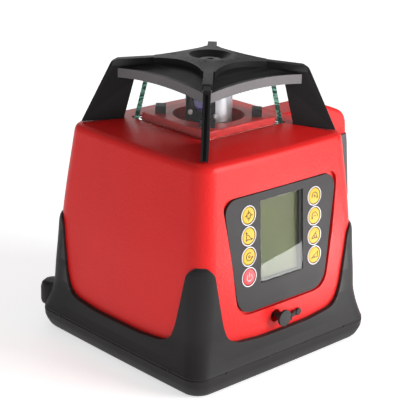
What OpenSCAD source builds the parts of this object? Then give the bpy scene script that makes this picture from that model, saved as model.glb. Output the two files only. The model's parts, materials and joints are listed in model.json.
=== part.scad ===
// Self-levelling rotary laser level. +Z up, keypad towards -Y, carrying handle towards +X.
// The origin is the mouth of the tripod thread, at the centre of the surface it stands on.

/* [Overall] */
// Height of the canopy hub above the ground
total_h = 190; // [187:0.2:192]
// Half width of the rubber boot at its widest band
boot_w = 79.6; // [78:0.2:82]
// Half width of the housing just below its rim
rim_w = 64.8; // [63.5:0.1:66]
// Height of the housing's rim
rim_z = 141; // [140:0.2:142]
// Wall thickness of the housing
wall = 2.6; // [2.2:0.1:3]

/* [Lantern] */
// Half width of the glass at its foot
glass_w = 34; // [33.4:0.1:34.4]
// Thickness of each glass pane
glass_t = 2.6; // [2:0.1:3]
// Half width of the raised tray inside the glass
tray_w = 30.6; // [30:0.1:31]
// Radius of the opening that the rotating head stands in
well_r = 22.6; // [22:0.1:23]
// Height of the tray's top
tray_z = 151; // [150.5:0.1:151.4]

/* [Canopy] */
// Distance of each shoulder from the axis, along the diagonal
shoulder_d = 62.2; // [60:0.1:64]
// Height of the shoulders
shoulder_z = 185; // [184:0.1:186]
// Distance of each foot's outer edge from the axis, along the diagonal
foot_d = 82.4; // [81:0.1:83]
// Thickness of the legs
leg_t = 4.6; // [4:0.1:5.4]
// Radius of the well in the hub
hub_r = 13.6; // [12:0.1:14]

/* [Keypad] */
// Distance from the middle to each column of buttons
button_x = 29.5; // [28:0.1:30]
// Spacing of the buttons in a column
button_pitch = 13.16; // [12.8:0.02:13.4]
// Radius of each button
button_r = 5.2; // [4.8:0.1:5.6]
// Half width of the display window
display_w = 19; // [17:0.1:19.4]
// Height of the display window
display_h = 53; // [48:0.5:54]

/* [Handle] */
// Half width of the handle's brackets, front to back
handle_y = 13; // [11:0.5:15]
// Half width of the handle's grip, front to back
grip_y = 15; // [13.5:0.5:17]

/* [Mounts] */
// Radius of the tripod thread's bore, the minor diameter of 5/8 inch 11 UNC
thread_r = 6.8; // [6.7:0.05:6.9]
// Radius of the charging socket's bore
socket_r = 1.8; // [1.7:0.05:1.9]

/* [Hidden] */
$fn = 64;

eps = 0.02;
big = 200;
// Clearance between fixed pieces that meet
gap = 0.1;
// Half angles of a corner are swept in this many steps
steps = 6;

// Housing: heights, half widths and corner radii of its level sections
crown = 1.2;
floor_z = 8;
roof_w = 36.5;
roof_z = rim_z + 6.2;
house_levels = [[floor_z, 72.6, 14], [45, 72.2, 14], [81, 71, 14], [100, 69.2, 13.5],
    [rim_z - 2.5, rim_w, 12.7], [rim_z, rim_w - 1, 12], [rim_z + 1.6, rim_w - 3.3, 11],
    [roof_z, roof_w, 5]];
cavity_levels = [[floor_z - 1, 72.6 - wall, 11.4], [45, 72.2 - wall, 11.4], [81, 71 - wall, 11.4],
    [100, 69.2 - wall, 11], [rim_z - 5, rim_w - wall, 10], [rim_z - 2.6, rim_w - 6, 8],
    [roof_z - 4.7, roof_w - 2.5, 3]];
channel_z = roof_z - 1.6;

// Canopy: how far out its parts lie and how they rise
leg_in_d = 54.5;
band_w = 43;
band_t = 3;
band_z = 173;
band_h = 6;
band_rise = 3.4;
star_waist = 22;
star_side_r = 43;
arm_w = 6;
collar_w = 31.4;

// Boot: the band round the foot, the waist above it, and the four horns
boot_z0 = 0.8;
band_levels = [[boot_z0, boot_w - 4.2, 11.5], [2.4, boot_w - 2.7, 12], [5, boot_w - 1.4, 12.4],
    [8, boot_w - 0.3, 12.6],
    [12, boot_w, 12.6], [15.3, boot_w - 0.7, 12.6], [20, boot_w - 1.9, 12.8]];
waist_levels = [[19, boot_w - 1.7, 12.8], [26, boot_w - 3.4, 13], [34, boot_w - 4.9, 13]];
horn_levels = [[33, boot_w - 4.8, 13], [49, boot_w - 5.5, 13.4], [60, boot_w - 6.1, 14],
    [77, boot_w - 6.9, 14.4], [80, boot_w - 7.5, 14.4], [82, boot_w - 8.9, 14.4]];
band_crown = 0.4;
boot_floor = 4.5;
lip_w = 64;
window_half = [[66, 110, 1], [66, 83, 3], [60, 77, 5], [57, 60, 50], [53.6, 42, 30], [50, 33, 12],
    [43, 29, 16], [22, 27, 60]];
lobe_x = 66.5;
lobe_y = 78.6;
lobe_r = 8.5;
lobe_z = 11;
lobe_h = 18;

// Base: plate, boss and fasteners
plate_z = boot_floor + gap;
insert_r = 12.9;
insert_h = 14;
base_screw_q = 54;
boss_h = 16;

// Front panel's frame: origin at this distance and height, leaning back
panel_y = 68.7;
panel_z = 100;
panel_lean = 4;
panel_t = 2;
panel_top = 19.4;
panel_bottom = -55.6;
panel_corners = [[-50.2, panel_top], [50.2, panel_top], [38.4, panel_bottom], [-38.4, panel_bottom]];
panel_radii = [9, 9, 13, 13];
button_top = 7.1;
button_travel = 0.8;
button_proud = 0.4;
display_v = -12.4;
display_depth = 4.8;
board_n = -12;
board_t = 1.6;
seat_n = -5;

// Charging socket and its dust plug
socket_x = -6.8;
socket_z = 36.4;
socket_face = 73.45;
socket_depth = 4.6;
socket_len = 12;
mouth_r = 4.2;
anchor_x = 13.1;
anchor_z = 33.9;
plug_hinge_x = 9.6;
plug_hinge_y = socket_face + 1.1;
plug_open = 31.5;
plug_arm = 10.4;
plug_reach = 6;
plug_disc_r = 5.3;
plug_disc_t = 1.6;
plug_stub_r = 2.9;
plug_stub_l = 3.4;
plug_tip_r = 1.45;
plug_tip_l = 3;
plug_z = 35.9;
strap_h = 3.8;
strap_t = 1.1;
pin_line_r = 0.75;
knuckle_h = 1.6;

// Battery bay's frame on the back
door_y = 70.6;
door_z = 78;
door_lean = 3.7;
door_w = 52;
door_h = 70;
door_t = 3;
bay_open = [[-50.4, 50.4], [-32.4, 22.4]];
cell_r = 13;
cell_l = 50;
bay_y0 = 35.6;
bay_y1 = 63.6;
fastener_x = 40;
fastener_v = 29;
fastener_r = 2;

// Gimbal and head: heights along the axis
pivot_z = 100;
ring_r0 = 20;
ring_r1 = 26;
ring_h = 8;
post_x0 = 29.5;
post_x1 = 35;
pin_r = 1.5;
fit = 0.05;
deck_z = 80;
deck_t = 4;
barrel_r = 14;
barrel_z0 = 62;
barrel_z1 = 121;
bearing_z = 113;
shaft_r = 8;
beam_r = 5;
flange_t = 3;
gear_z = 128;
gear_t = 5;
gear_m = 1;
gear_teeth = 36;
pinion_teeth = 12;
gear_a = gear_m * (gear_teeth + pinion_teeth) / 2 + 0.1;
head_z0 = 150;
head_z1 = 173;
head_r = 14.5;
beam_z = 160;
window_turn = 17;
lever_r = 35;
screw_at = 42;
lever_z = 112;
lever_pin_r = 1.2;
screw_r = 1.5;

// Handle: outline in its own plane, distance from the axis and height
handle_outer = [[62, 143.6], [99, 143.6], [121.5, 134.5], [130.5, 58], [118, 46], [66, 46]];
handle_outer_r = [0.5, 24, 9, 12, 10, 0.5];
handle_inner = [[40, 126], [98, 126], [104.5, 120], [111, 68], [106, 62], [40, 62]];
handle_inner_r = [0.5, 5, 4, 4, 4, 0.5];
grip_top = 119.5;
grip_bottom = 68.5;
spine_in = 4;

red = "#d8262b";
black = "#2e2c2d";
grey = "#4a484a";
steel = "#b9bcc0";
brass = "#b9964c";
glass = [0.75, 0.9, 0.85, 0.35];

function unit(v) = v / norm(v);

// Height of the roof under a leg, at distance d from the axis along the diagonal
function roof_at(d) = let (r0 = (roof_w - 5) * sqrt(2) + 5, r1 = (rim_w - 14.3) * sqrt(2) + 11)
    roof_z + 0.06 - (roof_z - rim_z - 1.6) * (d - r0) / (r1 - r0);

// A range of half width h about c
function span(c, h) = [c - h, c + h];

// Points of the fillet of radius r at b, on the way from a to c
function fillet(a, b, c, r) =
    let (u = unit(a - b), w = unit(c - b), half = acos(u * w) / 2)
    let (mid = b + unit(u + w) * r / sin(half), s = b + u * r / tan(half) - mid)
    let (side = sign(cross(b - a, c - b)), sweep = side * (180 - 2 * half))
    [for (i = [0:steps]) let (t = sweep * i / steps)
        mid + [s.x * cos(t) - s.y * sin(t), s.x * sin(t) + s.y * cos(t)]];

function rounded(points, radii) = let (n = len(points))
    [for (i = [0:n - 1]) each fillet(points[(i + n - 1) % n], points[i], points[(i + 1) % n], radii[i])];

// One side of a square with swollen sides, from the end of one corner to the next
function side(w, r, swell) = concat(
    [for (t = [-1:0.25:1]) [w + swell * (1 - t * t), t * (w - r)]],
    [for (i = [1:steps * 2 - 1]) let (a = 45 * i / steps) [w - r + r * cos(a), w - r + r * sin(a)]]);

function swollen_square(w, r, swell) =
    [for (q = [0:3]) each [for (p = side(w, r, swell))
        [p.x * cos(90 * q) - p.y * sin(90 * q), p.x * sin(90 * q) + p.y * cos(90 * q)]]];

// Involute of a base circle at roll angle a, in degrees
function involute(r, a) = let (b = a * PI / 180) [r * (cos(a) + b * sin(a)), r * (sin(a) - b * cos(a))];

function turn(p, a) = [p.x * cos(a) - p.y * sin(a), p.x * sin(a) + p.y * cos(a)];

// Outline of a spur gear of 20 degree pressure angle, thinned for backlash
function gear_outline(teeth, m, short) =
    let (rp = teeth * m / 2, rb = rp * cos(20), ra = rp + 0.9 * m, rf = rp - 1.15 * m)
    let (roll_p = tan(20) * 180 / PI, inv_p = roll_p - 20)
    let (roll_a = sqrt(ra * ra / (rb * rb) - 1) * 180 / PI)
    let (half = 90 / teeth - short / rp * 180 / PI + inv_p)
    let (flank = [for (i = [0:4]) turn(involute(rb, roll_a * i / 4), -half)])
    let (root = [max(rf, 1) * cos(half), -max(rf, 1) * sin(half)])
    let (right = concat([root], flank))
    let (tooth = concat(right, [for (i = [len(right) - 1:-1:0]) [right[i].x, -right[i].y]]))
    [for (k = [0:teeth - 1]) each [for (p = tooth) turn(p, 360 * k / teeth)]];

module stack(levels, swell, grow = 0) {
    hull()
        for (l = levels)
            translate([0, 0, l[0]])
                linear_extrude(eps)
                    polygon(swollen_square(l[1] + grow, l[2] + grow, swell));
}

module block(x, y, z) {
    translate([x[0], y[0], z[0]])
        cube([x[1] - x[0], y[1] - y[0], z[1] - z[0]]);
}

module rod(r, z) {
    translate([0, 0, z[0]])
        cylinder(r = r, h = z[1] - z[0]);
}

// Everything drawn in here lies in the keypad's plane, with +Z out of the face
module on_panel() {
    translate([0, -panel_y, panel_z])
        rotate([90 - panel_lean, 0, 0])
            children();
}

module on_back() {
    rotate([0, 0, 180])
        translate([0, -door_y, door_z])
            rotate([90 - door_lean, 0, 0])
                children();
}

module at_socket() {
    translate([socket_x, -socket_face, socket_z])
        rotate([90, 0, 0])
            children();
}

module quarters() {
    for (q = [0:3])
        rotate([0, 0, 90 * q])
            children();
}

module panel_prism(grow, n) {
    translate([0, 0, n[0]])
        linear_extrude(n[1] - n[0])
            polygon([for (p = rounded(panel_corners, panel_radii)) p + grow * unit(p + [0, 18])]);
}

module door_prism(grow, n) {
    w = door_w + grow;
    h = door_h / 2 + grow;
    translate([0, 0, n[0]])
        linear_extrude(n[1] - n[0])
            polygon(rounded([[-w, -h], [w, -h], [w, h], [-w, h]], [6, 6, 6, 6]));
}

// ---------- foot ----------

module boot_window() {
    n = len(window_half);
    outline = [for (i = [0:2 * n - 1])
        i < n ? [-window_half[i].x, window_half[i].y]
            : [window_half[2 * n - 1 - i].x, window_half[2 * n - 1 - i].y]];
    radii = [for (i = [0:2 * n - 1]) window_half[i < n ? i : 2 * n - 1 - i].z];
    rotate([90, 0, 0])
        linear_extrude(big)
            polygon(rounded(outline, radii));
}

module rubber_boot() {
    color(black)
        difference() {
            union() {
                stack(band_levels, band_crown);
                stack(waist_levels, crown);
                stack(horn_levels, crown);
                for (s = [-1, 1])
                    translate([s * lobe_x, lobe_y, lobe_z])
                        rotate_extrude()
                            polygon(rounded([[0, 0], [lobe_r, 0], [lobe_r, lobe_h], [0, lobe_h]],
                                [0.01, 3, 6, 0.01]));
            }
            stack([[boot_floor, 72.6, 14], each [for (i = [1:3]) house_levels[i]],
                [84, 70.75, 14]], crown, gap);
            linear_extrude(big)
                square(2 * lip_w, center = true);
            quarters()
                boot_window();
        }
}

module foot_pads() {
    color(black)
        quarters()
            intersection() {
                linear_extrude(boot_z0 - gap / 2)
                    difference() {
                        polygon(swollen_square(boot_w - 5, 11, 0));
                        polygon(swollen_square(lip_w + 3, 6, 0));
                    }
                block([56, 90], [56, 90], [-1, 3]);
            }
}

module base_plate() {
    color(grey)
        difference() {
            union() {
                translate([0, 0, plate_z])
                    linear_extrude(floor_z - gap - plate_z)
                        polygon(swollen_square(72, 13.4, crown));
                rod(18, [1, 20]);
                for (a = [0:45:315])
                    rotate([0, 0, a + 22.5])
                        block([17, 44], [-1.2, 1.2], [floor_z - 1, floor_z + 5]);
            }
            rod(insert_r + fit, [-1, insert_h + gap]);
            rod(thread_r + 1, [0, 30]);
            quarters()
                translate([base_screw_q, base_screw_q, 0]) {
                    rod(1.8, [0, 20]);
                    rod(3.4, [0, 6.2]);
                }
        }
}

module tripod_insert() {
    color(brass)
        difference() {
            rod(insert_r, [0, insert_h]);
            rod(thread_r, [-1, insert_h + 1]);
        }
}

module base_screws() {
    color(steel)
        quarters()
            translate([base_screw_q, base_screw_q, 0])
                difference() {
                    union() {
                        rod(3.1, [4.8, 6.2]);
                        rod(1.55, [6, floor_z + 10]);
                    }
                    for (a = [0, 90])
                        rotate([0, 0, a])
                            block([-2, 2], [-0.4, 0.4], [4, 5.7]);
                }
}

// ---------- housing ----------

module housing_shell() {
    color(red)
        difference() {
            union() {
                difference() {
                    stack(house_levels, crown);
                    stack(cavity_levels, crown);
                }
                intersection() {
                    stack(house_levels, crown, -0.5);
                    union() {
                        on_panel()
                            panel_prism(3.2, [seat_n, -1]);
                        on_back()
                            door_prism(3.5, [seat_n, -1]);
                        at_socket()
                            rod(mouth_r + 2.4, [-socket_depth - 3, 0]);
                        quarters() {
                            translate([base_screw_q, base_screw_q, 0])
                                rod(4.2, [floor_z, floor_z + boss_h]);
                            rotate([0, 0, 45])
                                block([base_screw_q * sqrt(2), 99], [-1.5, 1.5],
                                    [floor_z, floor_z + boss_h - 1]);
                        }
                    }
                }
            }
            on_panel() {
                panel_prism(1.4, [-panel_t - eps, 9]);
                panel_prism(-3.2, [-9, 0]);
            }
            on_back() {
                door_prism(0.4, [-door_t - gap, 9]);
                block(bay_open[0], bay_open[1], [-12, 0]);
                for (s = [-1, 1])
                    translate([s * fastener_x, fastener_v, 0])
                        rod(fastener_r + 0.3, [-12, 0]);
            }
            at_socket()
                rod(mouth_r, [-socket_depth - 6, 5]);
            translate([anchor_x, -socket_face, anchor_z])
                rotate([90, 0, 0])
                    rod(1.5, [-9, 5]);
            quarters()
                translate([base_screw_q, base_screw_q, 0])
                    rod(1.6, [0, floor_z + boss_h - 3]);
            linear_extrude(big)
                square(2 * (tray_w + gap), center = true);
            translate([0, 0, channel_z])
                linear_extrude(9)
                    polygon(swollen_square(roof_w - 0.6, 3, 0));
        }
}

module top_tray() {
    color(red)
        difference() {
            union() {
                stack([[channel_z - 5.5, tray_w, 2], [tray_z - 1.4, tray_w, 2],
                    [tray_z - 0.4, tray_w - 0.5, 1.8], [tray_z, tray_w - 1.6, 1.4]], 0);
                translate([0, 0, roof_z - 7.5])
                    linear_extrude(2.6)
                        square(2 * (tray_w + 2), center = true);
            }
            rod(well_r, [0, big]);
            quarters()
                translate([21.5, 21.5, 0])
                    rod(1.5, [tray_z - 3, big]);
        }
}

module glass_gasket() {
    color("#5e1416")
        translate([0, 0, channel_z])
            linear_extrude(1)
                difference() {
                    polygon(swollen_square(roof_w - 0.8, 3, 0));
                    square(2 * (tray_w + 0.3), center = true);
                }
}

// A leaning panel on the -Y side, mitred to its neighbours, from foot to head
module leaning_panel(foot, head, t, mitre) {
    intersection() {
        translate([-foot[0], 0, 0])
            rotate([90, 0, 90])
                linear_extrude(2 * foot[0])
                    polygon([[-foot[0], foot[1]], [-head[0], head[1]], [-head[0] + t, head[1]],
                        [-foot[0] + t, foot[1]]]);
        linear_extrude(big)
            polygon([[0, -mitre], [-90, -90 - mitre], [90, -90 - mitre]]);
    }
}

module glass_pane(q) {
    color(glass)
        rotate([0, 0, 90 * q])
            leaning_panel([glass_w, channel_z + 1.05], [glass_w - 5.3, channel_z + 34.5], glass_t, 0.08);
}

// ---------- canopy ----------

module leg_profile(inset) {
    polygon(concat(
        rounded([[shoulder_d - 16, shoulder_z - 1], [shoulder_d - inset, shoulder_z - inset],
            [foot_d - inset, roof_at(foot_d)]], [1, 5, 0.2]),
        [[leg_in_d, roof_at(leg_in_d)], [48.2, 172], [46, shoulder_z - 6]]));
}

module canopy_leg() {
    rotate([0, 0, 45])
        translate([0, leg_t / 2, 0])
            rotate([90, 0, 0])
                linear_extrude(leg_t)
                    leg_profile(0);
}

// The groove down the outer edge of a leg
module leg_groove() {
    rotate([0, 0, 45])
        translate([0, leg_t / 5, 0])
            rotate([90, 0, 0])
                linear_extrude(leg_t / 2.5)
                    difference() {
                        translate([shoulder_d - 12, 140])
                            square([40, shoulder_z - 145]);
                        leg_profile(1.3);
                    }
}

module star_outline() {
    intersection() {
        difference() {
            circle(shoulder_d);
            for (q = [0:3])
                rotate(90 * q)
                    translate([star_waist + star_side_r, 0])
                        circle(star_side_r, $fn = 160);
        }
        union() {
            circle(36);
            for (a = [45, 135])
                rotate(a)
                    square([2 * shoulder_d, arm_w], center = true);
        }
    }
}

module canopy_star() {
    intersection() {
        linear_extrude(big)
            star_outline();
        rotate_extrude($fn = 128)
            polygon([[0, total_h - 7], [0, total_h], [hub_r + 2, total_h],
                [hub_r + 6, total_h - 0.9], [30, total_h - 1.9], [shoulder_d - 3, shoulder_z + 0.4],
                [shoulder_d - 1.2, shoulder_z - 0.6], [shoulder_d + 1, shoulder_z - 4],
                [30, total_h - 6.5]]);
    }
}

// The frame that grips the heads of the panes
module canopy_collar() {
    head = channel_z + 34.5;
    difference() {
        linear_extrude(head + 1.2)
            square(2 * collar_w, center = true);
        linear_extrude(head + 0.1)
            square(2 * (collar_w - 2), center = true);
        linear_extrude(big)
            square(2 * (collar_w - 6), center = true);
        linear_extrude(head - 3.6)
            square(big, center = true);
    }
}

module canopy_band() {
    rotate([90, 0, 0])
        translate([0, 0, band_w - band_t])
            linear_extrude(band_t)
                polygon(concat(
                    [for (t = [-1:0.125:1]) [band_w * t, band_z + band_rise * (1 - t * t)]],
                    [for (t = [1:-0.125:-1]) [band_w * t, band_z + band_h + band_rise * (1 - t * t)]]));
}

module canopy() {
    color(black)
        difference() {
            union() {
                canopy_star();
                quarters() {
                    canopy_leg();
                    canopy_band();
                    leaning_panel([band_w - 0.5, band_z + band_h], [14, total_h - 2.4], 8, 0);
                }
                canopy_collar();
                rod(hub_r + 2, [total_h - 8, total_h]);
            }
            quarters()
                leg_groove();
            for (s = [-1, 1])
                rotate([0, 0, 45 - 90 * s])
                    block([22, 29], span(5.5 * s, 0.6), [total_h - 2.8, big]);
            translate([0, 0, total_h - 4])
                cylinder(r1 = 8, r2 = hub_r, h = 4 + eps);
            rod(5.2, [0, big]);
        }
}

module hub_insert() {
    color(steel)
        difference() {
            union() {
                rod(5.15, [total_h - 8, total_h - 3.8]);
                rod(7, [total_h - 3.9, total_h - 3]);
            }
            rod(2.55, [0, big]);
        }
}

module tray_bumpers() {
    color(black)
        quarters()
            translate([21.5, 21.5, 0]) {
                rotate([0, 0, 45])
                    block([-3.2, 3.2], [-4.4, 4.4], [tray_z + gap / 2, tray_z + 5]);
                rod(1.45, [tray_z - 3, tray_z + 1]);
            }
}

// ---------- keypad ----------

function button_v(row) = button_top - row * button_pitch;

module at_button(column, row) {
    on_panel()
        translate([column * button_x, button_v(row), 0])
            children();
}

module keypad_panel() {
    color(grey)
        on_panel()
            difference() {
                panel_prism(0, [-panel_t, 0]);
                for (c = [-1, 1], row = [0:3])
                    translate([c * button_x, button_v(row), 0])
                        rod(button_r + 0.3, [-5, 5]);
                block([-display_w, display_w], span(display_v, display_h / 2), [-5, 5]);
            }
}

module display_window() {
    color([0.7, 0.75, 0.6, 0.4])
        on_panel()
            block([-display_w + gap, display_w - gap],
                span(display_v, display_h / 2 - gap), [-1.2, -0.2]);
}

module display_module() {
    color("#8e937a")
        on_panel() {
            block([-21.5, 21.5], span(display_v, 29.5), [-7.4, -display_depth]);
            block([-23, 23], span(display_v, 31), [-8.6, -7.4]);
            block([-20, -17], span(display_v, 26), [board_n + board_t, -8.6]);
            block([17, 20], span(display_v, 26), [board_n + board_t, -8.6]);
        }
}

module control_board() {
    color("#1d5a34")
        on_panel() {
            block([-37, 37], [-46, 16], [board_n, board_n + board_t]);
            block([-8, 8], [-30, -14], [board_n - 2.2, board_n]);
            block([14, 26], [-8, 4], [board_n - 1.6, board_n]);
            block([-30, -16], [-40, -34], [board_n - 6, board_n]);
            for (i = [0:4])
                translate([-30 + 5 * i, 6, 0])
                    rod(1.8, [board_n - 5, board_n]);
        }
}

module tact_switches() {
    color(steel)
        for (c = [-1, 1], row = [0:3])
            at_button(c, row) {
                block([-3, 3], [-3, 3], [board_n + board_t, -6.4]);
                rod(1.7, [-6.5, -5.6]);
            }
}

module button(column, row, shade) {
    color(shade)
        at_button(column, row) {
            rod(button_r, [-3.4, button_proud - 0.2]);
            rod(button_r - 0.4, [0, button_proud]);
            rod(button_r + 0.8, [-3.4, -2.9]);
            rod(1.6, [-4.4, -3.4]);
        }
}

module charge_socket() {
    color(black)
        at_socket()
            difference() {
                union() {
                    rod(mouth_r - gap, [-socket_depth - 3, -socket_depth]);
                    block([-5, 5], [-5, 5], [-socket_depth - 15, -socket_depth - 3]);
                }
                rod(socket_r, [-socket_depth - socket_len, 0]);
            }
}

module plug_anchor() {
    color(black)
        translate([anchor_x, -socket_face, anchor_z])
            rotate([90, 0, 0]) {
                rod(2.4, [0.05, 1.9]);
                rod(1.4, [-4.4, 1]);
            }
}

// Drawn about the strap's pin line at the anchor, with the strap's far end towards -X
module at_strap() {
    translate([plug_hinge_x, -plug_hinge_y, 0])
        rotate([0, 0, plug_open])
            children();
}

module plug_strap() {
    color(black)
        at_strap() {
            rotate([90, 0, 0])
                translate([0, 0, -strap_t / 2])
                    linear_extrude(strap_t)
                        polygon([[0, anchor_z - strap_h / 2], [0, anchor_z + strap_h / 2],
                            [-plug_arm, plug_z + knuckle_h / 2], [-plug_arm, plug_z - knuckle_h / 2]]);
            rod(pin_line_r, span(anchor_z, strap_h / 2));
            translate([-plug_arm, 0, 0])
                rod(pin_line_r, span(plug_z, knuckle_h / 2));
        }
}

// The plug hangs from two lugs, one above and one below the strap's end
module dust_plug() {
    lug_z = knuckle_h / 2 + 0.5;
    color(black)
        translate([plug_hinge_x - plug_arm * cos(plug_open),
                -plug_hinge_y - plug_arm * sin(plug_open), plug_z]) {
            for (s = [-1, 1]) {
                rod(pin_line_r, span(s * (lug_z + 0.5), 0.5));
                block([-2.2, 0], [-0.5, 0.5], span(s * (lug_z + 0.5), 0.5));
            }
            translate([-plug_reach, 0, socket_z - plug_z])
                rotate([90, 0, 0]) {
                    difference() {
                        rod(plug_disc_r, [-plug_disc_t / 2, plug_disc_t / 2]);
                        block([plug_reach - 1.3, 9], span(plug_z - socket_z, knuckle_h / 2 + 0.3), [-9, 9]);
                    }
                    rod(plug_stub_r, [-plug_disc_t / 2 - plug_stub_l, 0]);
                    rod(plug_tip_r, [-plug_disc_t / 2 - plug_stub_l - plug_tip_l, -2]);
                }
        }
}

// ---------- levelling chassis ----------

module along_x() {
    rotate([0, 90, 0])
        children();
}

module along_y() {
    rotate([-90, 0, 0])
        children();
}

module chassis_frame() {
    color("#9a9da1")
        difference() {
            union() {
                translate([0, -6, deck_z])
                    linear_extrude(deck_t)
                        polygon(rounded([[-50, -40], [50, -40], [50, 40], [-50, 40]], [8, 8, 8, 8]));
                for (s = [-1, 1])
                    translate([s * (post_x0 + post_x1) / 2, 0, 0])
                        block(span(0, (post_x1 - post_x0) / 2), [-7, 7],
                            [deck_z + 1, pivot_z + 4.5]);
            }
            rod(19, [0, big]);
            translate([0, 0, pivot_z])
                along_x()
                    rod(pin_r + fit, [-60, 60]);
            for (p = [[screw_at, 0], [0, -screw_at]])
                translate(p)
                    rod(2.4, [0, big]);
            for (x = [-44, 44], y = [-40, 28])
                translate([x, y, 0])
                    rod(1.6, [0, big]);
        }
}

module chassis_posts() {
    color(steel)
        for (x = [-44, 44], y = [-40, 28])
            translate([x, y, 0]) {
                rod(4, [floor_z, deck_z]);
                rod(1.5, [deck_z - 1, deck_z + deck_t + 0.6]);
                rod(3, [deck_z + deck_t, deck_z + deck_t + 1.8]);
            }
}

module gimbal_ring() {
    color("#8b8e92")
        difference() {
            union() {
                rod(ring_r1, span(pivot_z, ring_h / 2));
                block([-4, 4], [-lever_r + 3.5, -ring_r1 + 3], span(pivot_z, 2));
                translate([0, 0, pivot_z])
                    along_y()
                        rod(lever_pin_r, [-lever_r - 1.2, -lever_r + 4]);
            }
            rod(ring_r0, [0, big]);
            translate([0, 0, pivot_z]) {
                along_y()
                    rod(pin_r + fit, [0, 40]);
                along_y()
                    rod(pin_r + fit, [-ring_r1 + 0.6, 0]);
                along_x()
                    rod(pin_r, [-40, 40]);
            }
        }
}

module gimbal_pins() {
    color(steel)
        translate([0, 0, pivot_z])
            along_x() {
                rod(pin_r, [ring_r0 + 0.5, post_x1]);
                rod(pin_r, [-post_x1, -ring_r0 - 0.5]);
            }
}

module laser_barrel() {
    color("#7d8084")
        difference() {
            union() {
                rod(barrel_r, [barrel_z0, barrel_z1]);
                rod(barrel_r, [barrel_z1 - 1, barrel_z1 + flange_t]);
                block([-7.5, 7.5], [0, gear_a + 6.5], [barrel_z1, barrel_z1 + flange_t]);
                block([barrel_r - 2, lever_r - 3.5], [-3, 3], span(lever_z, 1.5));
                translate([0, 0, lever_z])
                    along_x()
                        rod(lever_pin_r, [lever_r - 4, lever_r + 1.2]);
            }
            rod(6, [0, big]);
            rod(12, [bearing_z, barrel_z1]);
            rod(shaft_r + 0.6, [bearing_z, big]);
            translate([0, gear_a, 0])
                rod(2.5, [0, big]);
            translate([0, 0, pivot_z])
                along_y()
                    rod(pin_r, [-30, 30]);
        }
}

module barrel_pins() {
    color(steel)
        translate([0, 0, pivot_z])
            along_y() {
                rod(pin_r, [8, ring_r1 - 1]);
                rod(pin_r, [-ring_r1 + 1, -8]);
            }
}

module laser_module() {
    color(brass)
        difference() {
            union() {
                rod(5.95, [barrel_z0 + 2, 97]);
                rod(4, [barrel_z0 - 6, barrel_z0 + 2.5]);
            }
            rod(2.5, [80, 98]);
        }
}

module head_bearing() {
    color(steel)
        difference() {
            rod(11.95, [bearing_z + gap, barrel_z1 - gap]);
            rod(shaft_r + fit, [0, big]);
            for (z = [bearing_z + gap, barrel_z1 - gap - 0.4])
                translate([0, 0, z - eps])
                    difference() {
                        rod(10.9, [0, 0.4 + 2 * eps]);
                        rod(9.4, [-1, 2]);
                    }
        }
}

module spin_motor() {
    color(steel)
        translate([0, gear_a, 0]) {
            rod(6, [108, barrel_z1 - gap]);
            rod(2.4, [106.6, 109]);
            rod(2.3, [barrel_z1 - 1, barrel_z1 + flange_t + 0.4]);
        }
}

module motor_pinion() {
    color("#d9d4c4")
        translate([0, gear_a, 0]) {
            translate([0, 0, gear_z - 0.5])
                linear_extrude(gear_t + 1)
                    rotate(-90)
                        polygon(gear_outline(pinion_teeth, gear_m, 0.12));
            rod(3, [barrel_z1 + flange_t + 0.8, gear_z]);
        }
}

module ring_gear() {
    color("#d9d4c4")
        difference() {
            translate([0, 0, gear_z])
                linear_extrude(gear_t)
                    rotate(90 + 180 / gear_teeth)
                        polygon(gear_outline(gear_teeth, gear_m, 0.12));
            rod(9, [0, big]);
            for (a = [0:60:300])
                rotate([0, 0, a])
                    translate([12.8, 0, 0])
                        rod(2.2, [0, big]);
        }
}

module rotor_hub() {
    color(steel)
        difference() {
            union() {
                rod(shaft_r, [bearing_z + gap, gear_z]);
                rod(8.95, [gear_z, gear_z + gear_t]);
                rod(10, [gear_z + gear_t, 147]);
                rod(head_r, [147, head_z0]);
            }
            rod(beam_r, [0, big]);
        }
}

module rotor_head() {
    color("#c9ccd2")
        rotate([0, 0, window_turn])
            difference() {
                rod(head_r, [head_z0, head_z1]);
                rod(12.6, [0, head_z1 - 2]);
                block([-20, -5], [-10, 10], [head_z0 + 1.5, head_z1 - 3]);
            }
}

module prism_holder() {
    color(black)
        rotate([0, 0, window_turn])
            difference() {
                intersection() {
                    rod(12.5, [head_z0, head_z1 - 2.2]);
                    block([-9.5, 13], [-13, 13], [0, big]);
                }
                rod(beam_r, [0, beam_z]);
                block([-6.2, 9.2], [-7.2, 7.2], [beam_z - 6.2, beam_z + 8.8]);
                translate([0, 0, beam_z])
                    along_x()
                        rod(5.2, [-20, 0]);
            }
}

module penta_prism() {
    color(glass)
        rotate([0, 0, window_turn])
            translate([0, 7, beam_z])
                rotate([90, 0, 0])
                    linear_extrude(14)
                        polygon([[-6, -6], [6, -6], [9, 3], [3, 8.6], [-6, 6]]);
}

module exit_lens() {
    color([0.35, 0.3, 0.75, 0.6])
        rotate([0, 0, window_turn])
            translate([0, 0, beam_z])
                along_x() {
                    rod(5.1, [-9.4, -8]);
                    rod(4.2, [-9.9, -9.4]);
                }
}

// Motor and gearbox under the deck, one below each levelling screw
module level_motors() {
    color(steel)
        for (a = [-90, 0])
            rotate([0, 0, a])
                translate([screw_at, 0, 0]) {
                    rod(6, [deck_z - 24, deck_z - 9]);
                    block([-6, 6], [-5, 5], [deck_z - 9, deck_z - 0.1]);
                    rod(1, [deck_z - 26, deck_z - 23]);
                }
}

module level_screw(top) {
    color(brass) {
        rod(screw_r, [deck_z + 0.2, top]);
        rod(2, [deck_z + 0.2, deck_z + deck_t + 1]);
    }
}

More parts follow.
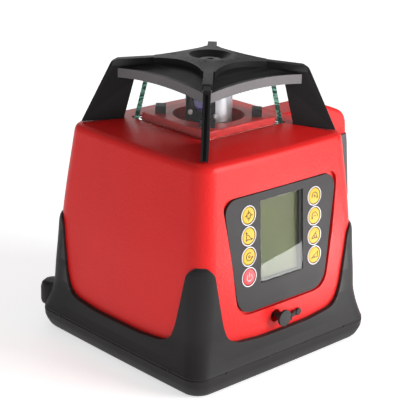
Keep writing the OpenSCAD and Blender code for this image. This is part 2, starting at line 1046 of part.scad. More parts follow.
// Drawn with its screw on the Z axis and its fork towards -X, at lever height z
module level_nut(z) {
    color("#e8e2d0")
        difference() {
            union() {
                rod(4.5, span(z, 5));
                block([screw_at * -1 + lever_r - 1, 0], [-4, 4], span(z, 3));
            }
            rod(screw_r + fit, [0, big]);
            block([-9, lever_r - screw_at + 3.6], [-5, 5], span(z, lever_pin_r + 0.3));
        }
}

module level_screw_x() {
    translate([0, -screw_at, 0])
        level_screw(pivot_z + 11);
}

module level_screw_y() {
    translate([screw_at, 0, 0])
        level_screw(lever_z + 11);
}

module level_nut_x() {
    translate([0, -screw_at, 0])
        rotate([0, 0, -90])
            level_nut(pivot_z);
}

module level_nut_y() {
    translate([screw_at, 0, 0])
        level_nut(lever_z);
}

// ---------- battery bay ----------

module battery_tray() {
    color(grey)
        difference() {
            block([-52.5, 52.5], [bay_y0, bay_y1], [44, 101]);
            block([-50.8, 50.8], [bay_y0 + 1.8, bay_y1 + 1], [45.8, 99.2]);
        }
}

module battery_cells() {
    color("#3f7a52")
        for (s = [-1, 1], z = [59.2, 85.8])
            translate([s * 25.3, bay_y0 + 1.9 + cell_r, z])
                along_x()
                    union() {
                        rod(cell_r, [-cell_l / 2 + 0.2, cell_l / 2 - 2]);
                        rod(3.2, [cell_l / 2 - 2, cell_l / 2 - 0.2]);
                    }
}

module battery_door() {
    color(black)
        on_back()
            difference() {
                union() {
                    door_prism(0, [-door_t, 1]);
                    for (v = [-18:6:18])
                        block([-30, 30], span(v, 1), [0.9, 1.8]);
                }
                for (s = [-1, 1])
                    translate([s * fastener_x, fastener_v, 0]) {
                        rod(fastener_r + fit, [-9, 9]);
                        rod(4.8, [-0.8, 9]);
                    }
                for (s = [-1, 1])
                    translate([s * 41, 0, 0])
                        block([-3, 3], [-12, 12], [0.2, 9]);
            }
}

module door_screw(s) {
    color(steel)
        on_back()
            translate([s * fastener_x, fastener_v, 0])
                difference() {
                    union() {
                        rod(4.4, [-0.7, 1.6]);
                        rod(fastener_r, [-6.5, 0]);
                    }
                    block([-5, 5], [-0.6, 0.6], [0.6, 2]);
                }
}

// ---------- handle ----------

module handle_plate(y, outer, outer_r) {
    translate([0, y, 0])
        rotate([90, 0, 0])
            linear_extrude(2 * y)
                difference() {
                    polygon(rounded(outer, outer_r));
                    polygon(rounded(handle_inner, handle_inner_r));
                }
}

module handle_frame() {
    color(red)
        difference() {
            union() {
                difference() {
                    handle_plate(handle_y, handle_outer, handle_outer_r);
                    block([95, 140], [-40, 40], [grip_bottom, grip_top]);
                }
                intersection() {
                    translate([0, 0, 0])
                        handle_plate(grip_y - 5, handle_outer, handle_outer_r);
                    translate([-spine_in, 0, 0])
                        handle_plate(grip_y - 5, handle_outer, handle_outer_r);
                    translate([spine_in, 0, 0])
                        handle_plate(grip_y - 5, handle_outer, handle_outer_r);
                    block([95, 140], [-40, 40], [grip_bottom - 1, grip_top + 1]);
                }
            }
            stack(house_levels, crown, 0.15);
        }
}

module handle_grip() {
    color(grey)
        difference() {
            intersection() {
                handle_plate(grip_y, handle_outer, handle_outer_r);
                block([95, 140], [-40, 40], [grip_bottom + gap, grip_top - gap]);
            }
            intersection() {
                translate([-spine_in + gap, 0, 0])
                    handle_plate(grip_y - 5 + gap, handle_outer, handle_outer_r);
                translate([spine_in - gap, 0, 0])
                    handle_plate(grip_y - 5 + gap, handle_outer, handle_outer_r);
            }
        }
}

rubber_boot();
foot_pads();
base_plate();
tripod_insert();
base_screws();
housing_shell();
top_tray();
glass_gasket();
glass_pane(0);  // glass_front
glass_pane(1);  // glass_right
glass_pane(2);  // glass_back
glass_pane(3);  // glass_left
canopy();
hub_insert();
tray_bumpers();
keypad_panel();
display_window();
display_module();
control_board();
tact_switches();
button(-1, 0, "#f2bb33");  // calibrate_button
button(-1, 1, "#f2bb33");  // axis_button
button(-1, 2, "#f2bb33");  // rotate_button
button(-1, 3, "#e8434a");  // power_button
button(1, 0, "#f2bb33");  // turn_right_button
button(1, 1, "#f2bb33");  // turn_left_button
button(1, 2, "#f2bb33");  // scan_button
button(1, 3, "#f2bb33");  // slope_button
charge_socket();
plug_anchor();
plug_strap();
dust_plug();
chassis_frame();
chassis_posts();
gimbal_ring();
gimbal_pins();
laser_barrel();
barrel_pins();
laser_module();
head_bearing();
spin_motor();
motor_pinion();
ring_gear();
rotor_hub();
rotor_head();
prism_holder();
penta_prism();
exit_lens();
level_motors();
level_screw_x();
level_screw_y();
level_nut_x();
level_nut_y();
battery_tray();
battery_cells();
battery_door();
door_screw(1);  // door_screw_left
door_screw(-1);  // door_screw_right
handle_frame();
handle_grip();
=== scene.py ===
"""Self-levelling rotary laser level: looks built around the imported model, laid out as an add-on."""

import json
import math

import bmesh
import bpy
import numpy as np
from bpy.props import FloatProperty, FloatVectorProperty, IntProperty, PointerProperty
from mathutils import Matrix, Vector


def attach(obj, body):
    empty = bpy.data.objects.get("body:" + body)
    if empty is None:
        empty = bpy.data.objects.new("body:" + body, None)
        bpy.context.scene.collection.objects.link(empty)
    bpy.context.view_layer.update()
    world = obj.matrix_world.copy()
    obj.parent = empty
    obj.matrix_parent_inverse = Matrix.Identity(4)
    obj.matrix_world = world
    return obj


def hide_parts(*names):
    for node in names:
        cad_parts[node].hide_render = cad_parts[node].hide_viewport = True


bl_info = {
    "name": "Rotary laser level",
    "version": (1, 0, 0),
    "blender": (4, 5, 0),
    "location": "View3D > Sidebar > Laser level",
    "description": "Builds the finish of a rotary laser level around its packed model",
    "category": "Add Mesh",
}

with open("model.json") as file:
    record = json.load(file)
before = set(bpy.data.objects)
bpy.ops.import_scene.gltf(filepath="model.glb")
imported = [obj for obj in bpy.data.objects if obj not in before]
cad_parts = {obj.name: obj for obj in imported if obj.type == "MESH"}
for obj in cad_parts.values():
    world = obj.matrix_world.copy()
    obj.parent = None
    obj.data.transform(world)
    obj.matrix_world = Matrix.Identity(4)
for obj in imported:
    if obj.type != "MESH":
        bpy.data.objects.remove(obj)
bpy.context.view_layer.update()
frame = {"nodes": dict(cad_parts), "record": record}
SLOT_OF = {part["node"]: part["material_slot"] for part in frame["record"]["subparts"]}
BODY_OF = {
    node: body
    for body, nodes in frame["record"]["behaviour"]["bodies"].items()
    for node in nodes
}
CASE = "level_case"
MM = 0.001
# Where the keypad, the battery door and the charging socket sit, with Z out of the face, in metres
PANEL_PLACE = Matrix.Translation((0, -0.0687, 0.1)) @ Matrix.Rotation(math.radians(86), 4, "X")
DOOR_PLACE = Matrix.Rotation(math.pi, 4, "Z") @ Matrix.Translation((0, -0.0706, 0.078))
DOOR_PLACE = DOOR_PLACE @ Matrix.Rotation(math.radians(86.3), 4, "X")
SOCKET_PLACE = Matrix.Translation((-0.0068, -0.07345, 0.0364)) @ Matrix.Rotation(math.pi / 2, 4, "X")
# Button centres on the keypad and the point that the head levels about, in metres
BUTTON_X = 0.0295
BUTTON_TOP = 0.0071
BUTTON_PITCH = 0.01316
HEAD_PIVOT = (0.0, 0.0, 0.1)

# Stations of the case and the boot, from the foot up: half width, height, corner radius and how
# far each bend is softened, in millimetres
CASE_STATIONS = (
    (72.6, 8, 14, 0), (72.2, 45, 14, 10), (71.0, 81, 14, 8), (69.2, 100, 13.5, 9),
    (64.8, 138.5, 12.7, 1.2), (63.8, 141, 12, 1.2), (61.5, 142.6, 11, 1.3), (36.5, 147.2, 5, 0),
)
CAVITY_STATIONS = (
    (70.0, 7, 11.4, 0), (69.6, 45, 11.4, 10), (68.4, 81, 11.4, 8), (66.6, 100, 11, 9),
    (62.2, 136, 10, 1.2), (58.8, 138.4, 8, 1.2), (34.0, 142.5, 3, 0),
)
BOOT_STATIONS = (
    (75.4, 0.8, 11.5, 0), (76.9, 2.4, 12, 0.5), (78.2, 5, 12.4, 1.2), (79.3, 8, 12.6, 1.2),
    (79.6, 12.6, 12.6, 0.3), (79.15, 13.1, 12.6, 0.1), (79.15, 13.5, 12.6, 0.1), (79.5, 14.0, 12.6, 0.3),
    (78.9, 15.6, 12.6, 0.8), (77.7, 20, 12.8, 1.5), (76.2, 26, 13, 2), (74.7, 34, 13, 3),
    (74.1, 49, 13.4, 4), (73.5, 60, 14, 4), (72.7, 77, 14.4, 1.2), (72.1, 80, 14.4, 1), (70.7, 82, 14.4, 0),
)
CASE_SWELLS = ((0, 200), (1.2, 1.2))
BOOT_SWELLS = ((0, 20, 26, 200), (0.4, 0.4, 1.2, 1.2))

# Outlines in millimetres: across, up and how far each bend is softened
WINDOW_HALF = (
    (66, 112, 0.5), (66, 83, 2), (60, 77, 3), (57, 60, 8),
    (53.6, 42, 5), (50, 33, 4), (43, 29, 4), (22, 27, 5),
)
WINDOW_OUTLINE = [(-x, z, bend) for x, z, bend in WINDOW_HALF] + list(reversed(WINDOW_HALF))
PANEL_OUTLINE = ((-50.2, 19.4, 8), (50.2, 19.4, 8), (38.4, -55.6, 11), (-38.4, -55.6, 11))
DOOR_OUTLINE = ((-52, -35, 6), (52, -35, 6), (52, 35, 6), (-52, 35, 6))
BAY_OUTLINE = ((-50.4, -32.4), (50.4, -32.4), (50.4, 22.4), (-50.4, 22.4))
HANDLE_OUTER = (
    (58, 143.6, 0), (99, 143.6, 10), (121.5, 134.5, 8), (130.5, 58, 9), (118, 46, 8), (60, 46, 0)
)
HANDLE_INNER = ((58, 126, 0), (98, 126, 4), (104.5, 120, 4), (111, 68, 4), (106, 62, 4), (60, 62, 0))
# Millimetres by which the keypad's seat, groove and pocket and the door's seat and hole pass them
PANEL_GROWS = (3.2, 1.4, -3.2)
DOOR_GROWS = (4.5, 0.4)
# Screw bosses, socket and door screws: places in metres, radii in millimetres
BOSS_OUT, BOSS_RADIUS = 0.054, 4.2
SOCKET_TUBE, SOCKET_HOLE = 6.6, 4.2
DOOR_SCREW_ACROSS, DOOR_SCREW_UP, DOOR_SCREW_HOLE = 0.04, 0.029, 2.3
# Half widths of the gasket's channel, the tray's opening and the boot's floor, in millimetres
CHANNEL_HALF, OPENING_HALF, FLOOR_OPENING_HALF = 35.9, 30.7, 64
BED_CLEARANCE = 0.12
# The boot's rear lobes: place in metres, then a half section from foot to crown in millimetres
LOBE_PLACE = (0.0665, 0.0786)
LOBE_DOME = (
    (0.01, 11), (5.5, 11.2), (7.9, 12.6), (8.5, 14.5), (8.5, 23.5), (7.7, 26.4), (5.5, 28.3), (0.01, 29)
)
# Notches of the boot's band: pitch, how far out and how high, in metres
NOTCH_PITCH, NOTCH_OUT, NOTCH_HEIGHT = 0.036, 0.0796, 0.0133
# Where the canopy's brow bands lie, in metres, and how upright their faces stand
BAND_OUT, BAND_HALF, BAND_FACING = 0.0428, 0.043, 0.03
BAND_LOW, BAND_HIGH, BAND_LEAN = 0.1725, 0.1832, 0.3
# The dark side of the spinning head, in degrees round it
DARK_FROM, DARK_TO = 120, 232
# The display's surround and the contacts beside it, in millimetres on the keypad's face
DISPLAY_HALF, DISPLAY_LOW, DISPLAY_HIGH, SURROUND_WALL = 18.3, -38.2, 13.4, 0.6
CONTACTS, CONTACT_PITCH = 40, 1.3
CONTACT_FIRST = (18.2, 13.0, -2.2)
# Half width and corner radius of the handle's brackets and of its grip, in millimetres
BRACKET_SECTION, GRIP_SECTION = (13, 3.6), (15, 4.6)
# The grip's ends: heights, how far out its inner side lies and how far its end sections draw in
GRIP_BOTTOM, GRIP_TOP = 68.5, 119.5
GRIP_INNER_LOW, GRIP_INNER_TOP = 110.94, 104.56
GRIP_SECTIONS, GRIP_DRAWN = 9, 0.055


# ---------- shapes ----------


def softened(path, steps=6, closed=False):
    """A path whose bends are eased into curves; each point ends with how far back its curve starts."""
    count = len(path)
    eased = []
    for i, point in enumerate(path):
        here = np.array(point[:-1], float)
        reach = point[-1]
        if reach == 0 or (not closed and i in (0, count - 1)):
            eased.append(here)
            continue
        before = np.array(path[i - 1][:-1], float) - here
        after = np.array(path[(i + 1) % count][:-1], float) - here
        start = here + before * min(0.49, reach / np.linalg.norm(before))
        end = here + after * min(0.49, reach / np.linalg.norm(after))
        for t in np.linspace(0, 1, steps + 1):
            eased.append((1 - t) ** 2 * start + 2 * t * (1 - t) * here + t * t * end)
    return eased


def swollen_square(half, radius, swell, along=25, around=11):
    """Outline of a square with bulging sides and round corners, anticlockwise."""
    t = np.linspace(-1, 1, along)
    side = np.stack([half + swell * (1 - t * t), t * (half - radius)], axis=1)
    angle = np.linspace(0, math.pi / 2, around + 2)[1:-1]
    corner = half - radius + radius * np.stack([np.cos(angle), np.sin(angle)], axis=1)
    quarter = np.concatenate([side, corner])
    outline = []
    for turn in range(4):
        c, s = (1, 0, -1, 0)[turn], (0, 1, 0, -1)[turn]
        outline.append(quarter @ np.array([[c, s], [-s, c]], float))
    return np.concatenate(outline)


def shell_rings(stations, swells, spacing=4.0, grow=0.0):
    """Level outlines up a tapering square shell, none further apart than spacing."""
    path = softened(stations)
    dense = [path[0]]
    for low, high in zip(path, path[1:]):
        parts = max(1, math.ceil(abs(high[1] - low[1]) / spacing))
        dense += [low + (high - low) * k / parts for k in range(1, parts + 1)]
    rings = []
    for half, height, radius in dense:
        swell = np.interp(height, swells[0], swells[1])
        flat = swollen_square(half + grow, radius + grow, swell)
        rings.append([(x * MM, y * MM, height * MM) for x, y in flat])
    return rings


def mesh_object(name, points, faces, edges=()):
    """A mesh object of those points, faces and loose edges, linked to the scene."""
    mesh = bpy.data.meshes.new(name)
    mesh.from_pydata([tuple(p) for p in points], edges, faces)
    mesh.update()
    piece = bpy.data.objects.new(name, mesh)
    bpy.context.scene.collection.objects.link(piece)
    return piece


def loft(name, rings):
    """A closed skin through rings of equal count, capped at both ends, faces outwards."""
    n = len(rings[0])
    points = [p for ring in rings for p in ring]
    faces = []
    for k in range(len(rings) - 1):
        for i in range(n):
            j = (i + 1) % n
            faces.append((k * n + i, k * n + j, (k + 1) * n + j, (k + 1) * n + i))
    faces.append(tuple(reversed(range(n))))
    faces.append(tuple(range((len(rings) - 1) * n, len(rings) * n)))
    piece = mesh_object(name, points, faces)
    face_out(piece)
    return piece


def face_out(piece):
    """Turns every face of a closed piece outwards."""
    work = bmesh.new()
    work.from_mesh(piece.data)
    bmesh.ops.remove_doubles(work, verts=work.verts, dist=1e-7)
    bmesh.ops.recalc_face_normals(work, faces=work.faces)
    work.to_mesh(piece.data)
    work.free()


def prism(name, outline, low, high, place):
    """An outline raised between two heights and set in place; outline and heights in millimetres."""
    rings = [[place @ Vector((x * MM, y * MM, z * MM)) for x, y in outline] for z in (low, high)]
    return loft(name, rings)


def turned(name, profile, place, around=64):
    """A solid of revolution about local Z through (radius, height) points in millimetres, ends closed."""
    rings = []
    for radius, height in profile:
        angles = np.linspace(0, 2 * math.pi, around, endpoint=False)
        ring = [(radius * math.cos(a) * MM, radius * math.sin(a) * MM, height * MM) for a in angles]
        rings.append([place @ Vector(p) for p in ring])
    return loft(name, rings)


def bake(piece):
    """Turns a piece's modifiers into its plain mesh."""
    bpy.context.view_layer.update()
    evaluated = piece.evaluated_get(bpy.context.evaluated_depsgraph_get())
    mesh = bpy.data.meshes.new_from_object(evaluated)
    piece.modifiers.clear()
    piece.data = mesh


def combine(piece, tool, operation):
    """Cuts the tool from the piece, joins it on or keeps what they share; the tool is used up."""
    boolean = piece.modifiers.new(operation.title(), "BOOLEAN")
    boolean.operation = operation
    boolean.solver = "EXACT"
    boolean.object = tool
    bake(piece)
    bpy.data.objects.remove(tool)
    if not piece.data.polygons:
        raise RuntimeError(f"{piece.name}: nothing is left after {operation.lower()}")


def soften_edges(piece, width, segments=2, angle=32):
    """Rounds the sharp edges of a piece to that width in metres."""
    bevel = piece.modifiers.new("Soft edges", "BEVEL")
    bevel.width = width
    bevel.segments = segments
    bevel.limit_method = "ANGLE"
    bevel.angle_limit = math.radians(angle)
    bevel.use_clamp_overlap = True
    bevel.harden_normals = False
    bake(piece)


def smooth_skin(piece, angle=32):
    """Shades curved skins smooth and leaves edges sharper than the angle crisp."""
    piece.data.shade_smooth()
    piece.data.set_sharp_from_angle(angle=math.radians(angle))
    weighted = piece.modifiers.new("Flat faces stay flat", "WEIGHTED_NORMAL")
    weighted.weight = 90
    weighted.keep_sharp = True
    bake(piece)


def refined(node, name, width, segments=2, angle=32):
    """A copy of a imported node, merged, cleared of needless edges and with its sharp edges rounded."""
    piece = bpy.data.objects.new(name, frame["nodes"][node].data.copy())
    bpy.context.scene.collection.objects.link(piece)
    work = bmesh.new()
    work.from_mesh(piece.data)
    bmesh.ops.remove_doubles(work, verts=work.verts, dist=2e-6)
    bmesh.ops.dissolve_limit(work, angle_limit=math.radians(0.6), verts=work.verts, edges=work.edges)
    work.to_mesh(piece.data)
    work.free()
    piece.data.materials.clear()
    if width:
        soften_edges(piece, width, segments, angle)
    return piece


def hand_over(piece, material, body, slot, *nodes, angle=32):
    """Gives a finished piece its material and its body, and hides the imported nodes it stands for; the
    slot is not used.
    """
    if material:
        piece.data.materials.clear()
        piece.data.materials.append(material)
    smooth_skin(piece, angle)
    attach(piece, body)
    if nodes:
        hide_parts(*nodes)


def refine_node(node, material, width, segments=2, angle=32):
    """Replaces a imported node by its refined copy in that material."""
    piece = refined(node, node + "_finish", width, segments, angle)
    hand_over(piece, material, BODY_OF[node], SLOT_OF[node], node, angle=angle)
    return piece


def joined(name, pieces):
    """Several pieces made into one, which keeps the first one's place."""
    whole = pieces[0]
    work = bmesh.new()
    for piece in pieces:
        work.from_mesh(piece.data)
    work.to_mesh(whole.data)
    work.free()
    for piece in pieces[1:]:
        bpy.data.objects.remove(piece)
    whole.name = name
    return whole


def faced(piece, material, chosen):
    """Gives the faces that chosen picks, by centre and normal, a finish of their own."""
    piece.data.materials.append(material)
    for face in piece.data.polygons:
        if chosen(face.center, face.normal):
            face.material_index = len(piece.data.materials) - 1


def panel_spot(column, row):
    """The place of a button: its centre on the keypad's face, with Z out of the face."""
    return PANEL_PLACE @ Matrix.Translation((column * BUTTON_X, BUTTON_TOP - row * BUTTON_PITCH, 0))


# ---------- finishes ----------


def blank_material(name):
    """A new material with an empty node tree, its nodes and its links."""
    material = bpy.data.materials.new(name)
    material.use_nodes = True
    material.node_tree.nodes.clear()
    return material, material.node_tree.nodes, material.node_tree.links


def lay_out(nodes):
    """Sets the nodes out in columns of three, in the order they were made."""
    for i, node in enumerate(n for n in nodes if n.type != "FRAME"):
        node.location = (220 * (i // 3), -260 * (i % 3))


def moulded_finish(name, colour, roughness, grain, depth, drift, rub, coat=0.0, shine=0.5):
    """Moulded plastic or rubber: fine grain, slow drift of colour and gloss, edges lightened as wear and as
    a painted highlight.
    """
    material, nodes, links = blank_material(name)
    colour_frame = nodes.new("NodeFrame")
    colour_frame.label = "Colour drift and rubbed edges"
    relief_frame = nodes.new("NodeFrame")
    relief_frame.label = "Mould grain"
    place = nodes.new("ShaderNodeTexCoord")
    place.label = "Place on the piece"
    cloud = nodes.new("ShaderNodeTexNoise")
    cloud.label = "Slow drift over the moulding"
    cloud.parent = colour_frame
    cloud.inputs["Scale"].default_value = 28.0
    cloud.inputs["Detail"].default_value = 5.0
    shade = nodes.new("ShaderNodeMix")
    shade.label = "Body colour, light to dark"
    shade.parent = colour_frame
    shade.data_type = "RGBA"
    shade.inputs["A"].default_value = (*[c * (1 - drift) for c in colour], 1)
    shade.inputs["B"].default_value = (*[min(1, c * (1 + drift)) for c in colour], 1)
    edge = nodes.new("ShaderNodeNewGeometry")
    edge.label = "How far the surface juts out"
    edge.parent = colour_frame
    # Painted highlight: the most exposed edges are lightened, partly as wear and partly standing in for the
    # highlights that light puts along them
    wear_and_highlit = nodes.new("ShaderNodeMapRange")
    wear_and_highlit.label = "Only the most exposed edges"
    wear_and_highlit.parent = colour_frame
    wear_and_highlit.inputs["From Min"].default_value = 0.53
    wear_and_highlit.inputs["From Max"].default_value = 0.68
    wear_and_highlit.inputs["To Max"].default_value = rub
    wear_and_highlight_tint = nodes.new("ShaderNodeMix")
    wear_and_highlight_tint.label = "Wear tint and painted highlight on the edges"
    wear_and_highlight_tint.parent = colour_frame
    wear_and_highlight_tint.data_type = "RGBA"
    wear_and_highlight_tint.inputs["B"].default_value = (*[min(1, c * 1.5 + 0.05) for c in colour], 1)
    scuff = nodes.new("ShaderNodeTexNoise")
    scuff.label = "Handling marks in the gloss"
    scuff.inputs["Scale"].default_value = 90.0
    scuff.inputs["Detail"].default_value = 8.0
    scuff.inputs["Roughness"].default_value = 0.62
    gloss = nodes.new("ShaderNodeMapRange")
    gloss.label = "Gloss from marks"
    gloss.inputs["To Min"].default_value = max(0.03, roughness - 0.07)
    gloss.inputs["To Max"].default_value = min(1, roughness + 0.09)
    pebble = nodes.new("ShaderNodeTexNoise")
    pebble.label = "Sparked grain of the mould"
    pebble.parent = relief_frame
    pebble.inputs["Scale"].default_value = 1 / (grain * MM)
    pebble.inputs["Detail"].default_value = 2.0
    dimple = nodes.new("ShaderNodeTexVoronoi")
    dimple.label = "Shallow dimples between grains"
    dimple.parent = relief_frame
    dimple.feature = "SMOOTH_F1"
    dimple.inputs["Scale"].default_value = 0.6 / (grain * MM)
    relief = nodes.new("ShaderNodeMix")
    relief.label = "Grain and dimples together"
    relief.parent = relief_frame
    relief.inputs["Factor"].default_value = 0.35
    bump = nodes.new("ShaderNodeBump")
    bump.label = "Depth of the grain"
    bump.parent = relief_frame
    bump.inputs["Strength"].default_value = depth
    bump.inputs["Distance"].default_value = grain * MM * 0.25
    skin = nodes.new("ShaderNodeBsdfPrincipled")
    skin.label = "Moulded skin"
    skin.inputs["IOR"].default_value = 1.48
    skin.inputs["Specular IOR Level"].default_value = shine
    skin.inputs["Coat Weight"].default_value = coat
    skin.inputs["Coat Roughness"].default_value = 0.12
    out = nodes.new("ShaderNodeOutputMaterial")
    out.label = "Surface"
    links.new(place.outputs["Object"], cloud.inputs["Vector"])
    links.new(place.outputs["Object"], scuff.inputs["Vector"])
    links.new(place.outputs["Object"], pebble.inputs["Vector"])
    links.new(place.outputs["Object"], dimple.inputs["Vector"])
    links.new(cloud.outputs["Fac"], shade.inputs["Factor"])
    links.new(edge.outputs["Pointiness"], wear_and_highlit.inputs["Value"])
    links.new(wear_and_highlit.outputs["Result"], wear_and_highlight_tint.inputs["Factor"])
    links.new(shade.outputs["Result"], wear_and_highlight_tint.inputs["A"])
    links.new(wear_and_highlight_tint.outputs["Result"], skin.inputs["Base Color"])
    links.new(scuff.outputs["Fac"], gloss.inputs["Value"])
    links.new(gloss.outputs["Result"], skin.inputs["Roughness"])
    links.new(pebble.outputs["Fac"], relief.inputs["A"])
    links.new(dimple.outputs["Distance"], relief.inputs["B"])
    links.new(relief.outputs["Result"], bump.inputs["Height"])
    links.new(bump.outputs["Normal"], skin.inputs["Normal"])
    links.new(skin.outputs["BSDF"], out.inputs["Surface"])
    lay_out(nodes)
    return material


def metal_finish(name, colour, roughness, centre, pitch, metallic=1.0):
    """Turned or brushed metal: fine tool rings round a centre line, stains and a slow drift of gloss."""
    material, nodes, links = blank_material(name)
    tool_frame = nodes.new("NodeFrame")
    tool_frame.label = "Tool marks"
    stain_frame = nodes.new("NodeFrame")
    stain_frame.label = "Stains and gloss"
    place = nodes.new("ShaderNodeTexCoord")
    place.label = "Place on the piece"
    centred = nodes.new("ShaderNodeMapping")
    centred.label = "Centre of the turning"
    centred.parent = tool_frame
    centred.inputs["Location"].default_value = [-c for c in centre]
    rings = nodes.new("ShaderNodeTexWave")
    rings.label = "Rings left by the tool"
    rings.parent = tool_frame
    rings.wave_type = "RINGS"
    rings.rings_direction = "SPHERICAL"
    rings.inputs["Scale"].default_value = 0.3 / (pitch * MM)
    rings.inputs["Distortion"].default_value = 0.6
    rings.inputs["Detail"].default_value = 3.0
    bump = nodes.new("ShaderNodeBump")
    bump.label = "Depth of the rings"
    bump.parent = tool_frame
    bump.inputs["Strength"].default_value = 0.18
    bump.inputs["Distance"].default_value = 0.00006
    stain = nodes.new("ShaderNodeTexNoise")
    stain.label = "Oil and handling stains"
    stain.parent = stain_frame
    stain.inputs["Scale"].default_value = 120.0
    stain.inputs["Detail"].default_value = 6.0
    tone = nodes.new("ShaderNodeMix")
    tone.label = "Clean to stained metal"
    tone.parent = stain_frame
    tone.data_type = "RGBA"
    tone.inputs["A"].default_value = (*[c * 0.82 for c in colour], 1)
    tone.inputs["B"].default_value = (*[min(1, c * 1.1) for c in colour], 1)
    gloss = nodes.new("ShaderNodeMapRange")
    gloss.label = "Gloss from stains"
    gloss.parent = stain_frame
    gloss.inputs["To Min"].default_value = roughness + 0.1
    gloss.inputs["To Max"].default_value = max(0.04, roughness - 0.08)
    metal = nodes.new("ShaderNodeBsdfPrincipled")
    metal.label = "Metal"
    metal.inputs["Metallic"].default_value = metallic
    out = nodes.new("ShaderNodeOutputMaterial")
    out.label = "Surface"
    links.new(place.outputs["Object"], centred.inputs["Vector"])
    links.new(centred.outputs["Vector"], rings.inputs["Vector"])
    links.new(rings.outputs["Color"], bump.inputs["Height"])
    links.new(bump.outputs["Normal"], metal.inputs["Normal"])
    links.new(place.outputs["Object"], stain.inputs["Vector"])
    links.new(stain.outputs["Fac"], tone.inputs["Factor"])
    links.new(stain.outputs["Fac"], gloss.inputs["Value"])
    links.new(tone.outputs["Result"], metal.inputs["Base Color"])
    links.new(gloss.outputs["Result"], metal.inputs["Roughness"])
    links.new(metal.outputs["BSDF"], out.inputs["Surface"])
    lay_out(nodes)
    return material


def glass_finish(name, tint, roughness, clear, ior=1.5, wave=0.01, smears=0.01):
    """Clear or coated glass with faint smears and a body tint."""
    material, nodes, links = blank_material(name)
    smear_frame = nodes.new("NodeFrame")
    smear_frame.label = "Smears"
    place = nodes.new("ShaderNodeTexCoord")
    place.label = "Place on the pane"
    smear = nodes.new("ShaderNodeTexNoise")
    smear.label = "Wiped smears"
    smear.parent = smear_frame
    smear.inputs["Scale"].default_value = 60.0
    smear.inputs["Detail"].default_value = 5.0
    smear.inputs["Distortion"].default_value = 1.2
    haze = nodes.new("ShaderNodeMapRange")
    haze.label = "Haze where smeared"
    haze.parent = smear_frame
    haze.inputs["From Min"].default_value = 0.5
    haze.inputs["From Max"].default_value = 0.9
    haze.inputs["To Min"].default_value = roughness
    haze.inputs["To Max"].default_value = roughness + smears
    ripple = nodes.new("ShaderNodeBump")
    ripple.label = "Slight wave of the pane"
    ripple.inputs["Strength"].default_value = wave
    ripple.inputs["Distance"].default_value = 0.0002
    glass = nodes.new("ShaderNodeBsdfPrincipled")
    glass.label = "Glass body"
    glass.inputs["Base Color"].default_value = (*tint, 1)
    glass.inputs["Transmission Weight"].default_value = clear
    glass.inputs["IOR"].default_value = ior
    out = nodes.new("ShaderNodeOutputMaterial")
    out.label = "Surface"
    links.new(place.outputs["Object"], smear.inputs["Vector"])
    links.new(smear.outputs["Fac"], haze.inputs["Value"])
    links.new(smear.outputs["Fac"], ripple.inputs["Height"])
    links.new(haze.outputs["Result"], glass.inputs["Roughness"])
    links.new(ripple.outputs["Normal"], glass.inputs["Normal"])
    links.new(glass.outputs["BSDF"], out.inputs["Surface"])
    lay_out(nodes)
    return material


def ground_finish(name, deep, bright):
    """The ground edge of a pane: green streaks from deep to bright, matt and closed to the eye, with a
    painted glow in the same green.
    """
    material, nodes, links = blank_material(name)
    streak_frame = nodes.new("NodeFrame")
    streak_frame.label = "Streaks of the wheel"
    place = nodes.new("ShaderNodeTexCoord")
    place.label = "Place on the pane"
    stretch = nodes.new("ShaderNodeMapping")
    stretch.label = "Streaks lie aslant"
    stretch.parent = streak_frame
    stretch.inputs["Rotation"].default_value = (0.7, 0.4, 0.0)
    stretch.inputs["Scale"].default_value = (1.0, 1.0, 3.0)
    streak = nodes.new("ShaderNodeTexNoise")
    streak.label = "Light and dark streaks"
    streak.parent = streak_frame
    streak.inputs["Scale"].default_value = 190.0
    streak.inputs["Detail"].default_value = 3.0
    streak.inputs["Distortion"].default_value = 0.8
    sharper = nodes.new("ShaderNodeMapRange")
    sharper.label = "Sharper streaks"
    sharper.parent = streak_frame
    sharper.inputs["From Min"].default_value = 0.42
    sharper.inputs["From Max"].default_value = 0.66
    tone = nodes.new("ShaderNodeMix")
    tone.label = "Deep to bright green"
    tone.data_type = "RGBA"
    tone.inputs["A"].default_value = (*deep, 1)
    tone.inputs["B"].default_value = (*bright, 1)
    bump = nodes.new("ShaderNodeBump")
    bump.label = "Scratch depth"
    bump.inputs["Strength"].default_value = 0.3
    bump.inputs["Distance"].default_value = 0.0002
    edge = nodes.new("ShaderNodeBsdfPrincipled")
    edge.label = "Ground edge"
    edge.inputs["Roughness"].default_value = 0.5
    # Painted glow: the edge emits its own streaked green, as if lit, though it is no lamp
    edge.inputs["Emission Strength"].default_value = 0.45
    out = nodes.new("ShaderNodeOutputMaterial")
    out.label = "Surface"
    links.new(place.outputs["Object"], stretch.inputs["Vector"])
    links.new(stretch.outputs["Vector"], streak.inputs["Vector"])
    links.new(streak.outputs["Fac"], sharper.inputs["Value"])
    links.new(sharper.outputs["Result"], tone.inputs["Factor"])
    links.new(tone.outputs["Result"], edge.inputs["Base Color"])
    links.new(tone.outputs["Result"], edge.inputs["Emission Color"])
    links.new(streak.outputs["Fac"], bump.inputs["Height"])
    links.new(bump.outputs["Normal"], edge.inputs["Normal"])
    links.new(edge.outputs["BSDF"], out.inputs["Surface"])
    lay_out(nodes)
    return material


